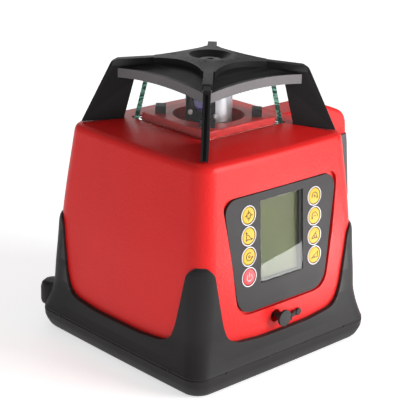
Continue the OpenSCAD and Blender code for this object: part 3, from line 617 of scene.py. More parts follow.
def printed_finish(name, ground, print_colour, width, height, gap, roughness, gloss_coat):
    """A board or display: a ground with a fine ruled pattern of tracks or picture cells over it."""
    material, nodes, links = blank_material(name)
    print_frame = nodes.new("NodeFrame")
    print_frame.label = "Ruled pattern"
    place = nodes.new("ShaderNodeTexCoord")
    place.label = "Place on the piece"
    lean = nodes.new("ShaderNodeMapping")
    lean.label = "Laid on the upright face"
    lean.parent = print_frame
    lean.inputs["Rotation"].default_value = (math.radians(-86), 0, 0)
    ruled = nodes.new("ShaderNodeTexBrick")
    ruled.label = "Tracks or picture cells"
    ruled.parent = print_frame
    ruled.offset = 0.0
    ruled.inputs["Scale"].default_value = 1.0
    ruled.inputs["Brick Width"].default_value = width * MM
    ruled.inputs["Row Height"].default_value = height * MM
    ruled.inputs["Mortar Size"].default_value = gap * MM
    ruled.inputs["Color1"].default_value = (*ground, 1)
    ruled.inputs["Color2"].default_value = (*[c * 0.93 for c in ground], 1)
    ruled.inputs["Mortar"].default_value = (*print_colour, 1)
    cloud = nodes.new("ShaderNodeTexNoise")
    cloud.label = "Uneven backing"
    cloud.inputs["Scale"].default_value = 40.0
    mottled = nodes.new("ShaderNodeMix")
    mottled.label = "Backing drift over the pattern"
    mottled.data_type = "RGBA"
    mottled.blend_type = "MULTIPLY"
    mottled.inputs["Factor"].default_value = 0.25
    bump = nodes.new("ShaderNodeBump")
    bump.label = "Raised pattern"
    bump.inputs["Strength"].default_value = 0.1
    bump.inputs["Distance"].default_value = 0.00005
    face = nodes.new("ShaderNodeBsdfPrincipled")
    face.label = "Printed face"
    face.inputs["Roughness"].default_value = roughness
    face.inputs["Coat Weight"].default_value = gloss_coat
    face.inputs["Coat Roughness"].default_value = 0.05
    out = nodes.new("ShaderNodeOutputMaterial")
    out.label = "Surface"
    links.new(place.outputs["Object"], lean.inputs["Vector"])
    links.new(lean.outputs["Vector"], ruled.inputs["Vector"])
    links.new(place.outputs["Object"], cloud.inputs["Vector"])
    links.new(ruled.outputs["Color"], mottled.inputs["A"])
    links.new(cloud.outputs["Color"], mottled.inputs["B"])
    links.new(mottled.outputs["Result"], face.inputs["Base Color"])
    links.new(ruled.outputs["Fac"], bump.inputs["Height"])
    links.new(bump.outputs["Normal"], face.inputs["Normal"])
    links.new(face.outputs["BSDF"], out.inputs["Surface"])
    lay_out(nodes)
    return material


# Moulded finishes: colour or the setting it comes from, roughness, grain in millimetres, depth of the
# grain, drift of the colour, edge lightening as wear and painted highlight and, where they differ, coat and
# shine
MOULDED = {
    "red_shell": ("shell", 0.4, 1.2, 0.8, 0.05, 0.2, 0.0, 0.26),
    "handle_red": ("shell", 0.42, 1.1, 0.4, 0.05, 0.2, 0.0, 0.3),
    "black_rubber": ("boot", 0.48, 0.35, 0.25, 0.2, 0.4, 0.0, 0.15),
    "canopy_black": ("canopy", 0.45, 0.25, 0.3, 0.12, 0.6, 0.0, 0.12),
    "button_yellow": ("button", 0.45, 0.2, 0.2, 0.04, 0.1, 0.0, 0.3),
    "grip_grey": ("grip", 0.6, 0.45, 0.45, 0.1, 0.3),
    "pad_rubber": ((0.02, 0.02, 0.02), 0.8, 0.5, 0.5, 0.2, 0.3),
    "dark_nylon": ((0.07, 0.07, 0.072), 0.55, 0.4, 0.4, 0.15, 0.3),
    "gasket_red": ((0.13, 0.018, 0.02), 0.6, 0.4, 0.3, 0.1, 0.2),
    "band_grey": ((0.155, 0.142, 0.148), 0.55, 0.5, 0.7, 0.2, 0.5, 0.0, 0.3),
    "head_black": ((0.012, 0.012, 0.013), 0.45, 0.3, 0.2, 0.2, 0.3),
    "contact_grey": ((0.22, 0.21, 0.2), 0.4, 0.2, 0.1, 0.1, 0.0),
    "bumper_black": ((0.02, 0.02, 0.022), 0.6, 0.4, 0.3, 0.2, 0.3),
    "panel_grey": ((0.034, 0.03, 0.031), 0.5, 0.3, 0.25, 0.08, 0.2, 0.0, 0.2),
    "socket_black": ((0.03, 0.03, 0.032), 0.4, 0.3, 0.2, 0.1, 0.2),
    "plug_rubber": ((0.03, 0.028, 0.028), 0.55, 0.3, 0.3, 0.15, 0.4, 0.0, 0.3),
    "button_red": ((0.82, 0.05, 0.06), 0.42, 0.2, 0.2, 0.04, 0.1),
    "ring_white": ((0.8, 0.78, 0.8), 0.4, 0.2, 0.1, 0.03, 0.0),
    "icon_ink": ((0.05, 0.03, 0.015), 0.5, 0.2, 0.1, 0.1, 0.0),
    "gear_acetal": ((0.78, 0.76, 0.68), 0.35, 0.3, 0.1, 0.04, 0.1),
    "nut_acetal": ((0.82, 0.8, 0.73), 0.35, 0.3, 0.1, 0.04, 0.1),
    "tray_grey": ((0.11, 0.11, 0.115), 0.5, 0.4, 0.3, 0.1, 0.2),
    "door_black": ((0.045, 0.043, 0.045), 0.48, 0.4, 0.4, 0.15, 0.4),
    "cell_jacket": ((0.06, 0.28, 0.12), 0.25, 0.8, 0.08, 0.1, 0.4, 0.4),
    # The display's surround is near black: a dark bezel, and also painted shade for the inside of the
    # recess
    "display_edge": ((0.012, 0.012, 0.012), 0.4, 0.3, 0.1, 0.1, 0.0),
}
# Metals: colour, roughness, centre of the turning in metres, pitch of the tool marks in millimetres
# and, where it isn't 1, how metallic
METALS = {
    "insert_brass": ((0.72, 0.53, 0.27), 0.35, (0, 0, 0), 0.35),
    "zinc_screw": ((0.6, 0.61, 0.63), 0.35, (0, 0, 0), 0.3),
    "switch_steel": ((0.55, 0.56, 0.57), 0.4, (0, -0.05, 0.1), 0.5),
    "chassis_alloy": ((0.6, 0.61, 0.63), 0.5, (0, 0, 0.08), 0.8),
    "machined_alloy": ((0.7, 0.71, 0.73), 0.32, HEAD_PIVOT, 0.3),
    "dark_alloy": ((0.03, 0.03, 0.035), 0.4, HEAD_PIVOT, 0.3, 0.35),
    "pin_steel": ((0.68, 0.68, 0.7), 0.28, HEAD_PIVOT, 0.25),
    "laser_brass": ((0.76, 0.6, 0.3), 0.3, HEAD_PIVOT, 0.3),
    "bearing_steel": ((0.72, 0.73, 0.75), 0.15, (0, 0, 0.117), 0.2),
    "motor_steel": ((0.5, 0.51, 0.53), 0.38, (0, 0, 0.1), 0.4),
    "head_silver": ((0.62, 0.64, 0.68), 0.36, (0, 0, 0.16), 0.3, 0.85),
    "screw_brass": ((0.7, 0.55, 0.3), 0.3, HEAD_PIVOT, 0.3),
}
# Glasses: tint, roughness, clearness, index and, where they differ, wave and smears
GLASSES = {
    "pane_glass": ((0.975, 0.985, 0.98), 0.0, 1.0, 1.22),
    "window_clear": ((0.96, 0.97, 0.94), 0.0, 1.0, 1.18, 0.0, 0.005),
    "prism_glass": ((0.85, 0.9, 0.98), 0.0, 1.0, 1.6),
    "lens_violet": ((0.16, 0.1, 0.62), 0.03, 0.35, 1.7),
}
# Printed faces: ground, print, width and height of a cell, gap in millimetres, roughness and coat
PRINTS = {
    "display_olive": ((0.125, 0.142, 0.055), (0.1, 0.115, 0.045), 0.7, 0.7, 0.06, 0.6, 0.0),
    "board_green": ((0.015, 0.12, 0.045), (0.05, 0.28, 0.1), 4.0, 2.5, 0.35, 0.3, 0.6),
}
# Ground edges: the deep and the bright green of the streaks, which the edge also gives off as a painted
# glow
GROUND_EDGES = {"ground_edge": ((0.012, 0.05, 0.042), (0.25, 0.55, 0.42))}
MAKERS = (
    (MOULDED, moulded_finish),
    (METALS, metal_finish),
    (GLASSES, glass_finish),
    (PRINTS, printed_finish),
    (GROUND_EDGES, ground_finish),
)
FINISHES = {}


def finish(slot):
    """The finish of a slot, made once."""
    if slot not in FINISHES:
        table, maker = next(pair for pair in MAKERS if slot in pair[0])
        colour, *rest = table[slot]
        if isinstance(colour, str):
            colour = tuple(getattr(bpy.context.scene.level_colours, colour))
        FINISHES[slot] = maker(slot, colour, *rest)
    return FINISHES[slot]


# ---------- repeated details ----------


def blank_tree(name, sizes):
    """A new geometry tree that takes a mesh, the named sizes and a finish, with its nodes and links."""
    tree = bpy.data.node_groups.new(name, "GeometryNodeTree")
    tree.is_modifier = True
    sockets = tree.interface
    sockets.new_socket("Geometry", in_out="INPUT", socket_type="NodeSocketGeometry")
    for label in sizes:
        sockets.new_socket(label, in_out="INPUT", socket_type="NodeSocketFloat")
    sockets.new_socket("Finish", in_out="INPUT", socket_type="NodeSocketMaterial")
    sockets.new_socket("Geometry", in_out="OUTPUT", socket_type="NodeSocketGeometry")
    return tree, tree.nodes, tree.links


def repeat_tree(name, shape):
    """Sets one small shape, a BAR or a flat RING, on every point of a carrier mesh, turned as it faces."""
    tree, nodes, links = blank_tree(name, ("Length", "Width", "Height"))
    start = nodes.new("NodeGroupInput")
    start.label = "Sizes"
    facing = nodes.new("GeometryNodeInputNamedAttribute")
    facing.label = "Which way each one faces"
    facing.data_type = "FLOAT_VECTOR"
    facing.inputs["Name"].default_value = "facing"
    spread = nodes.new("GeometryNodeInstanceOnPoints")
    spread.label = "One on each point"
    solid = nodes.new("GeometryNodeRealizeInstances")
    solid.label = "Make them real"
    coat = nodes.new("GeometryNodeSetMaterial")
    coat.label = "Their finish"
    end = nodes.new("NodeGroupOutput")
    end.label = "Result"
    if shape == "BAR":
        size = nodes.new("ShaderNodeCombineXYZ")
        size.label = "Bar's size"
        bar = nodes.new("GeometryNodeMeshCube")
        bar.label = "Bar"
        links.new(start.outputs["Length"], size.inputs["X"])
        links.new(start.outputs["Width"], size.inputs["Y"])
        links.new(start.outputs["Height"], size.inputs["Z"])
        links.new(size.outputs["Vector"], bar.inputs["Size"])
        links.new(bar.outputs["Mesh"], spread.inputs["Instance"])
    else:
        path = nodes.new("GeometryNodeCurvePrimitiveCircle")
        path.label = "Ring's centre line"
        path.inputs["Resolution"].default_value = 48
        section = nodes.new("GeometryNodeCurvePrimitiveQuadrilateral")
        section.label = "Ring's flat section"
        sweep = nodes.new("GeometryNodeCurveToMesh")
        sweep.label = "Ring"
        links.new(start.outputs["Length"], path.inputs["Radius"])
        links.new(start.outputs["Width"], section.inputs["Width"])
        links.new(start.outputs["Height"], section.inputs["Height"])
        links.new(path.outputs["Curve"], sweep.inputs["Curve"])
        links.new(section.outputs["Curve"], sweep.inputs["Profile Curve"])
        links.new(sweep.outputs["Mesh"], spread.inputs["Instance"])
    links.new(start.outputs["Geometry"], spread.inputs["Points"])
    links.new(facing.outputs["Attribute"], spread.inputs["Rotation"])
    links.new(spread.outputs["Instances"], solid.inputs["Geometry"])
    links.new(solid.outputs["Geometry"], coat.inputs["Geometry"])
    links.new(start.outputs["Finish"], coat.inputs["Material"])
    links.new(coat.outputs["Geometry"], end.inputs["Geometry"])
    lay_out(nodes)
    return tree


def thread_tree(name):
    """A node tree that sweeps a ridge along a spiral."""
    tree, nodes, links = blank_tree(name, ("Radius", "Length", "Turns", "Ridge"))
    start = nodes.new("NodeGroupInput")
    start.label = "Sizes"
    path = nodes.new("GeometryNodeCurveSpiral")
    path.label = "Thread's path"
    path.inputs["Resolution"].default_value = 32
    section = nodes.new("GeometryNodeCurvePrimitiveCircle")
    section.label = "Thread's section"
    section.inputs["Resolution"].default_value = 6
    sweep = nodes.new("GeometryNodeCurveToMesh")
    sweep.label = "Thread"
    sweep.inputs["Fill Caps"].default_value = True
    lift = nodes.new("GeometryNodeTransform")
    lift.label = "Raised off the mouth"
    lift.inputs["Translation"].default_value = (0, 0, 0.0009)
    solid = nodes.new("GeometryNodeRealizeInstances")
    solid.label = "Make it real"
    coat = nodes.new("GeometryNodeSetMaterial")
    coat.label = "Its finish"
    end = nodes.new("NodeGroupOutput")
    end.label = "Result"
    links.new(start.outputs["Turns"], path.inputs["Rotations"])
    links.new(start.outputs["Radius"], path.inputs["Start Radius"])
    links.new(start.outputs["Radius"], path.inputs["End Radius"])
    links.new(start.outputs["Length"], path.inputs["Height"])
    links.new(start.outputs["Ridge"], section.inputs["Radius"])
    links.new(path.outputs["Curve"], sweep.inputs["Curve"])
    links.new(section.outputs["Curve"], sweep.inputs["Profile Curve"])
    links.new(sweep.outputs["Mesh"], lift.inputs["Geometry"])
    links.new(lift.outputs["Geometry"], solid.inputs["Geometry"])
    links.new(solid.outputs["Geometry"], coat.inputs["Geometry"])
    links.new(start.outputs["Finish"], coat.inputs["Material"])
    links.new(coat.outputs["Geometry"], end.inputs["Geometry"])
    lay_out(nodes)
    return tree


def line_tree(name):
    """A node tree that draws a raised line along every edge of a carrier mesh."""
    tree, nodes, links = blank_tree(name, ("Radius",))
    start = nodes.new("NodeGroupInput")
    start.label = "Sizes"
    path = nodes.new("GeometryNodeMeshToCurve")
    path.label = "Lines of the mark"
    section = nodes.new("GeometryNodeCurvePrimitiveCircle")
    section.label = "Bead's section"
    section.inputs["Resolution"].default_value = 8
    sweep = nodes.new("GeometryNodeCurveToMesh")
    sweep.label = "Bead of ink"
    sweep.inputs["Fill Caps"].default_value = True
    solid = nodes.new("GeometryNodeRealizeInstances")
    solid.label = "Make it real"
    coat = nodes.new("GeometryNodeSetMaterial")
    coat.label = "Its finish"
    end = nodes.new("NodeGroupOutput")
    end.label = "Result"
    links.new(start.outputs["Geometry"], path.inputs["Mesh"])
    links.new(start.outputs["Radius"], section.inputs["Radius"])
    links.new(path.outputs["Curve"], sweep.inputs["Curve"])
    links.new(section.outputs["Curve"], sweep.inputs["Profile Curve"])
    links.new(sweep.outputs["Mesh"], solid.inputs["Geometry"])
    links.new(solid.outputs["Geometry"], coat.inputs["Geometry"])
    links.new(start.outputs["Finish"], coat.inputs["Material"])
    links.new(coat.outputs["Geometry"], end.inputs["Geometry"])
    lay_out(nodes)
    return tree


def grown(name, carrier, tree, values, body, slot):
    """Runs a node tree on a carrier mesh with the named values and hands over the plain mesh."""
    modifier = carrier.modifiers.new(tree.name, "NODES")
    modifier.node_group = tree
    for item in tree.interface.items_tree:
        if item.in_out == "INPUT" and item.name in values:
            modifier[item.identifier] = values[item.name]
    carrier.name = name
    bake(carrier)
    if not carrier.data.polygons:
        raise RuntimeError(f"{name}: the node tree made nothing")
    hand_over(carrier, None, body, slot)
    return carrier


def arc(x, y, radius, start, end, count=14):
    """Points along an arc, with angles in degrees."""
    angles = np.radians(np.linspace(start, end, count))
    return [(x + radius * math.cos(a), y + radius * math.sin(a)) for a in angles]


def arrow(x, y, heading, size=1.1):
    """An arrowhead with its tip at that point."""
    barbs = [math.radians(heading + turn) for turn in (145, -145)]
    left, right = ((x + size * math.cos(a), y + size * math.sin(a)) for a in barbs)
    return [left, (x, y), right]


def drawn_lines(name, lines, place, lift):
    """A carrier mesh of edges along flat lines, in millimetres, laid on a place."""
    points, edges = [], []
    for line in lines:
        first = len(points)
        points += [place @ Vector((x * MM, y * MM, lift * MM)) for x, y in line]
        edges += [(i, i + 1) for i in range(first, len(points) - 1)]
    return mesh_object(name, points, [], edges)


def carrier_mesh(name, spots):
    """Points at the spots' places, with the turn of each kept in the facing attribute."""
    carrier = mesh_object(name, [spot.translation for spot in spots], [])
    facing = carrier.data.attributes.new("facing", "FLOAT_VECTOR", "POINT")
    for i, spot in enumerate(spots):
        facing.data[i].vector = spot.to_euler()
    return carrier


# ---------- settings ----------


class LevelSizes(bpy.types.PropertyGroup):
    """Sizes a user would change."""

    edge: FloatProperty(name="Edge", description="Rounding of small edges", default=0.0004, unit="LENGTH")
    rim: FloatProperty(name="Rim", description="Rounding of the boot's rims", default=0.0009, unit="LENGTH")
    ring: FloatProperty(
        name="Button ring", description="Radius of the ring round a button", default=0.0060, unit="LENGTH"
    )
    notches: IntProperty(name="Notches", description="Notches on each side of the boot's band", default=4)


class LevelColours(bpy.types.PropertyGroup):
    """Colours a user would change."""

    shell: FloatVectorProperty(
        name="Shell", description="Housing and handle", subtype="COLOR", default=(0.8, 0.017, 0.016)
    )
    boot: FloatVectorProperty(
        name="Boot", description="Rubber boot", subtype="COLOR", default=(0.026, 0.0245, 0.0245)
    )
    canopy: FloatVectorProperty(
        name="Canopy", description="Lantern's canopy", subtype="COLOR", default=(0.016, 0.0148, 0.016)
    )
    button: FloatVectorProperty(
        name="Button", description="Button caps", subtype="COLOR", default=(0.8, 0.47, 0.03)
    )
    grip: FloatVectorProperty(
        name="Grip", description="Handle's grip", subtype="COLOR", default=(0.07, 0.066, 0.07)
    )


# ---------- pieces ----------


class LEVEL_OT_housing(bpy.types.Operator):
    """Builds the housing: a tapering square shell with the keypad's recess and the battery door's"""

    bl_idname = "level.housing"
    bl_label = "Housing"

    def execute(self, context):
        shell = loft("housing_finish", shell_rings(CASE_STATIONS, CASE_SWELLS))
        panel = softened(PANEL_OUTLINE, closed=True)
        middle = np.array((0, -18))
        seat, groove, pocket = (
            [p + grow * (p - middle) / np.linalg.norm(p - middle) for p in panel] for grow in PANEL_GROWS
        )
        door = softened(DOOR_OUTLINE, closed=True)
        door_seat, door_hole = ([p * (1 + grow / np.linalg.norm(p)) for p in door] for grow in DOOR_GROWS)
        inner = [
            prism("panel_seat", seat, -5, -1, PANEL_PLACE),
            prism("door_seat", door_seat, -5, -1, DOOR_PLACE),
            turned("socket_tube", ((SOCKET_TUBE, -7.6), (SOCKET_TUBE, 0)), SOCKET_PLACE),
        ]
        combine(shell, loft("cavity_tool", shell_rings(CAVITY_STATIONS, CASE_SWELLS)), "DIFFERENCE")
        for wall in inner:
            limit = loft("limit_tool", shell_rings(CASE_STATIONS, CASE_SWELLS, grow=-0.5))
            combine(wall, limit, "INTERSECT")
            combine(shell, wall, "UNION")
        for x, y in ((1, 1), (-1, 1), (-1, -1), (1, -1)):
            boss = Matrix.Translation((x * BOSS_OUT, y * BOSS_OUT, 0))
            profile = ((BOSS_RADIUS, 8.2), (BOSS_RADIUS, 24))
            combine(shell, turned("screw_boss", profile, boss, 24), "UNION")
        combine(shell, prism("groove_tool", groove, -2.02, 9, PANEL_PLACE), "DIFFERENCE")
        combine(shell, prism("pocket_tool", pocket, -9, 0, PANEL_PLACE), "DIFFERENCE")
        combine(shell, prism("door_tool", door_hole, -3.1, 9, DOOR_PLACE), "DIFFERENCE")
        combine(shell, prism("bay_tool", BAY_OUTLINE, -12, 0, DOOR_PLACE), "DIFFERENCE")
        holes = []
        for side in (-1, 1):
            spot = DOOR_PLACE @ Matrix.Translation((side * DOOR_SCREW_ACROSS, DOOR_SCREW_UP, 0))
            holes.append(turned("hole", ((DOOR_SCREW_HOLE, -12), (DOOR_SCREW_HOLE, 0)), spot, 32))
        holes.append(turned("hole", ((SOCKET_HOLE, -10), (SOCKET_HOLE, 5)), SOCKET_PLACE))
        combine(shell, joined("hole_tools", holes), "DIFFERENCE")
        channel = swollen_square(CHANNEL_HALF, 3, 0)
        opening = swollen_square(OPENING_HALF, 1, 0)
        combine(shell, prism("channel_tool", channel, 145.6, 160, Matrix()), "DIFFERENCE")
        combine(shell, prism("tray_tool", opening, 120, 160, Matrix()), "DIFFERENCE")
        soften_edges(shell, context.scene.level_sizes.edge, 2, 40)
        hand_over(shell, finish("red_shell"), CASE, "red_shell", "housing_shell")
        return {"FINISHED"}


class LEVEL_OT_boot(bpy.types.Operator):
    """Builds the rubber boot with its four horns, its parting line, notches and rear bumpers"""

    bl_idname = "level.boot"
    bl_label = "Rubber boot"

    def execute(self, context):
        boot = loft("rubber_boot_finish", shell_rings(BOOT_STATIONS, BOOT_SWELLS, 3.0))
        for side in (-1, 1):
            spot = Matrix.Translation((side * LOBE_PLACE[0], LOBE_PLACE[1], 0))
            combine(boot, turned("lobe", LOBE_DOME, spot, 40), "UNION")
        bed = loft("bed_tool", shell_rings(CASE_STATIONS[:5], CASE_SWELLS, grow=BED_CLEARANCE))
        combine(boot, bed, "DIFFERENCE")
        opening = swollen_square(FLOOR_OPENING_HALF, 2, 0)
        combine(boot, prism("floor_tool", opening, -5, 20, Matrix()), "DIFFERENCE")
        window = softened(WINDOW_OUTLINE, 8, closed=True)
        for quarter in range(4):
            place = Matrix.Rotation(quarter * math.pi / 2, 4, "Z") @ Matrix.Rotation(math.pi / 2, 4, "X")
            combine(boot, prism("window_tool", window, 20, 120, place), "DIFFERENCE")
        soften_edges(boot, context.scene.level_sizes.rim, 3, 36)
        hand_over(boot, finish("black_rubber"), CASE, "black_rubber", "rubber_boot")
        spots = []
        count = context.scene.level_sizes.notches
        for quarter in range(4):
            for k in range(count):
                x = (k + 0.5 - count / 2) * NOTCH_PITCH
                spot = Matrix.Translation((x, -NOTCH_OUT, NOTCH_HEIGHT))
                spots.append(Matrix.Rotation(quarter * math.pi / 2, 4, "Z") @ spot)
        values = {"Length": 0.0006, "Width": 0.0007, "Height": 0.0022, "Finish": finish("pad_rubber")}
        carrier = carrier_mesh("notches", spots)
        grown("boot_notches", carrier, repeat_tree("Notches", "BAR"), values, CASE, "black_rubber")
        refine_node("foot_pads", finish("pad_rubber"), 0.0004)
        return {"FINISHED"}


class LEVEL_OT_base(bpy.types.Operator):
    """Finishes the base plate, its screws and the threaded tripod insert"""

    bl_idname = "level.base"
    bl_label = "Base"

    def execute(self, context):
        refine_node("base_plate", finish("dark_nylon"), 0.0003)
        refine_node("base_screws", finish("zinc_screw"), 0.0001)
        refine_node("tripod_insert", finish("insert_brass"), 0.0003)
        carrier = carrier_mesh("thread", [Matrix()])
        values = {"Radius": 0.0071, "Length": 0.0123, "Turns": 5.3, "Ridge": 0.0006}
        values["Finish"] = finish("insert_brass")
        grown("tripod_thread", carrier, thread_tree("Tripod thread"), values, CASE, "insert_brass")
        return {"FINISHED"}


def on_band(centre, normal):
    """Whether a face of the canopy is on the outer side of a brow band."""
    near, far = sorted((abs(centre.x), abs(centre.y)))
    outward = max(normal.x * centre.x, normal.y * centre.y)
    upright = BAND_LOW < centre.z < BAND_HIGH and abs(normal.z) < BAND_LEAN
    return upright and far > BAND_OUT and near < BAND_HALF and outward > BAND_FACING


class LEVEL_OT_canopy(bpy.types.Operator):
    """Finishes the canopy: star, legs, brow bands and hub"""

    bl_idname = "level.canopy"
    bl_label = "Canopy"

    def execute(self, context):
        canopy = refine_node("canopy", finish("canopy_black"), 0.0005, 2, 28)
        faced(canopy, finish("band_grey"), on_band)
        refine_node("hub_insert", finish("dark_alloy"), 0.0003)
        return {"FINISHED"}


class LEVEL_OT_lantern(bpy.types.Operator):
    """Finishes the tray, the gasket, the bumpers and the four panes"""

    bl_idname = "level.lantern"
    bl_label = "Lantern"

    def execute(self, context):
        refine_node("top_tray", finish("red_shell"), 0.0004)
        refine_node("glass_gasket", finish("gasket_red"), 0.0003)
        refine_node("tray_bumpers", finish("bumper_black"), 0.0009, 3)
        for side in ("front", "right", "back", "left"):
            pane = refine_node("glass_" + side, finish("pane_glass"), 0.00025)
            faced(pane, finish("ground_edge"), lambda c, n: min(abs(n.x), abs(n.y)) > 0.5)
        return {"FINISHED"}


ICONS = {
    "calibrate": (
        arc(0, 0, 1.9, 0, 360),
        ((-3.3, 0), (-0.8, 0)),
        ((0.8, 0), (3.3, 0)),
        ((0, -3.3), (0, -0.8)),
        ((0, 0.8), (0, 3.3)),
    ),
    "axis": (
        ((-2.9, -2.1), (2.9, -2.1)),
        arrow(2.9, -2.1, 0),
        ((-2.1, -2.9), (-2.1, 2.9)),
        arrow(-2.1, 2.9, 90),
        arc(-2.1, -2.1, 3.2, 12, 78),
    ),
    "rotate": (arc(0, 0, 2.5, 50, 360), arrow(2.5, 0, 90), arc(0, 0, 0.7, 0, 360)),
    "power": (arc(0, -0.3, 2.2, 130, 410), ((0, 0.3), (0, 2.9))),
    "turn_right": (
        arc(0, 0, 2.5, 200, -40),
        arrow(1.92, -1.6, -130),
        ((-0.9, 0), (0.9, 0)),
        ((0, -0.9), (0, 0.9)),
    ),
    "turn_left": (arc(0, 0, 2.5, -20, 220), arrow(-1.92, -1.6, -50), ((-0.9, 0), (0.9, 0))),
    "scan": (
        ((-2.9, -1.7), (1.6, 2.4)),
        ((-2.9, -1.7), (2.9, -1.7)),
        arc(-2.9, -1.7, 3.0, 0, 42),
        arc(-2.9, -1.7, 4.8, 0, 42),
    ),
    "slope": (((-2.9, -1.6), (2.9, -1.6), (2.9, 2), (-2.9, -1.6)), arc(-2.9, -1.6, 2.6, 0, 31)),
}
# Half section of a button, from its stem up to its crown, in millimetres
BUTTON_PROFILE = (
    (0.01, -4.4), (1.5, -4.4), (1.6, -4.3), (1.6, -3.41), (5.8, -3.41), (6, -3.3), (6, -2.95), (5.85, -2.9),
    (5.2, -2.9), (5.2, -0.1), (5.05, 0.12), (4.7, 0.28), (4.1, 0.36), (2.6, 0.39), (0.01, 0.4),
)
KEYS = (
    ("calibrate", -1, 0),
    ("axis", -1, 1),
    ("rotate", -1, 2),
    ("power", -1, 3),
    ("turn_right", 1, 0),
    ("turn_left", 1, 1),
    ("scan", 1, 2),
    ("slope", 1, 3),
)


class LEVEL_OT_keypad(bpy.types.Operator):
    """Builds the keypad: its plate, ringed buttons with plain marks, the display and the charging socket"""

    bl_idname = "level.keypad"
    bl_label = "Keypad"

    def execute(self, context):
        refine_node("keypad_panel", finish("panel_grey"), 0.00035, 2, 40)
        for name, column, row in KEYS:
            node = name + "_button"
            spot = panel_spot(column, row)
            button = turned(node + "_finish", BUTTON_PROFILE, spot)
            hand_over(button, finish(SLOT_OF[node]), BODY_OF[node], SLOT_OF[node], node, angle=50)
            ink = finish("ring_white" if name == "power" else "icon_ink")
            lines = drawn_lines("mark", ICONS[name], spot, 0.38)
            values = {"Radius": 0.00026, "Finish": ink}
            grown("mark_" + name, lines, line_tree("Mark"), values, BODY_OF[node], SLOT_OF[node])
        spots = [panel_spot(c, r) @ Matrix.Translation((0, 0, 0.0001)) for _, c, r in KEYS]
        radius = context.scene.level_sizes.ring
        values = {"Length": radius, "Width": 0.00055, "Height": 0.0004, "Finish": finish("ring_white")}
        carrier = carrier_mesh("rings", spots)
        grown("button_rings", carrier, repeat_tree("Button rings", "RING"), values, CASE, "panel_grey")
        refine_node("display_window", finish("window_clear"), 0.0002)
        display = refined("display_module", "display_finish", 0.0002)
        hand_over(display, finish("display_olive"), CASE, "display_olive", "display_module")
        inner, outer = (
            softened(
                (
                    (-DISPLAY_HALF - wall, DISPLAY_LOW - wall, 1),
                    (DISPLAY_HALF + wall, DISPLAY_LOW - wall, 1),
                    (DISPLAY_HALF + wall, DISPLAY_HIGH + wall, 1),
                    (-DISPLAY_HALF - wall, DISPLAY_HIGH + wall, 1),
                ),
                closed=True,
            )
            for wall in (0, SURROUND_WALL)
        )
        # Painted shade: the surround's walls are near black, a dark bezel that also stands for the shade
        # falling inside the display's recess
        surround = prism("display_surround", outer, -4.75, -1.3, PANEL_PLACE)
        combine(surround, prism("surround_tool", inner, -9, 9, PANEL_PLACE), "DIFFERENCE")
        hand_over(surround, finish("display_edge"), CASE, "display_olive")
        x, y, z = CONTACT_FIRST
        spots = [
            PANEL_PLACE @ Matrix.Translation((x * MM, (y - CONTACT_PITCH * k) * MM, z * MM))
            for k in range(CONTACTS)
        ]
        values = {"Length": 0.0003, "Width": 0.0006, "Height": 0.0011, "Finish": finish("contact_grey")}
        carrier = carrier_mesh("contacts", spots)
        grown("display_contacts", carrier, repeat_tree("Contacts", "BAR"), values, CASE, "display_olive")
        refine_node("control_board", finish("board_green"), 0)
        refine_node("tact_switches", finish("switch_steel"), 0.0002)
        refine_node("charge_socket", finish("socket_black"), 0.0002)
        refine_node("plug_anchor", finish("plug_rubber"), 0.0005, 3)
        refine_node("plug_strap", finish("plug_rubber"), 0.0003, 3)
        refine_node("dust_plug", finish("plug_rubber"), 0.0004, 3)
        return {"FINISHED"}


# Half section of a screw's head, from its foot to its socket, in millimetres
HEAD_SCREW_PROFILE = (
    (0.01, -2.4), (1.5, -2.4), (1.5, 0.3), (1.3, 0.5), (0.75, 0.55), (0.7, 0.0), (0.01, 0.0)
)
# The head's two screws: turn round it in degrees, then out, aside and up in millimetres
HEAD_SCREWS = ((226, 9.4, -11.2, 154.2), (243, 14.7, 0, 153))


def in_dark_sector(centre, _normal):
    """Whether a face of the head is on its dark side."""
    return DARK_FROM < math.degrees(math.atan2(centre.y, centre.x)) % 360 < DARK_TO


class LEVEL_OT_rotor(bpy.types.Operator):
    """Finishes the spinning head, its gear, prism and exit lens"""

    bl_idname = "level.rotor"
    bl_label = "Spinning head"

    def execute(self, context):
        head = refine_node("rotor_head", finish("head_silver"), 0.0004)
        hub = refine_node("rotor_hub", finish("machined_alloy"), 0.0003)
        for piece in (head, hub):
            faced(piece, finish("head_black"), in_dark_sector)
        heads = []
        for turn, out, aside, height in HEAD_SCREWS:
            place = Matrix.Rotation(math.radians(turn), 4, "Z")
            place = place @ Matrix.Translation((out * MM, aside * MM, height * MM))
            place = place @ Matrix.Rotation(math.pi / 2, 4, "Y")
            heads.append(turned("head_screw", HEAD_SCREW_PROFILE, place, 24))
        # Painted highlight: the screw heads are plain white, standing for the glint of light on them
        hand_over(joined("head_screws", heads), finish("ring_white"), "rotor", "head_silver")
        refine_node("prism_holder", finish("dark_alloy"), 0.0003)
        refine_node("penta_prism", finish("prism_glass"), 0.0002)
        refine_node("exit_lens", finish("lens_violet"), 0.0002)
        refine_node("ring_gear", finish("gear_acetal"), 0)
        refine_node("motor_pinion", finish("gear_acetal"), 0)
        return {"FINISHED"}


class LEVEL_OT_gimbal(bpy.types.Operator):
    """Finishes the levelling gimbal, the laser barrel and their drives"""

    bl_idname = "level.gimbal"
    bl_label = "Gimbal and drives"

    def execute(self, context):
        for node in (
            "chassis_frame",
            "chassis_posts",
            "gimbal_ring",
            "gimbal_pins",
            "laser_barrel",
            "barrel_pins",
            "laser_module",
            "head_bearing",
            "spin_motor",
            "level_motors",
            "level_screw_x",
            "level_screw_y",
            "level_nut_x",
            "level_nut_y",
        ):
            refine_node(node, finish(SLOT_OF[node]), 0.0002)
        return {"FINISHED"}


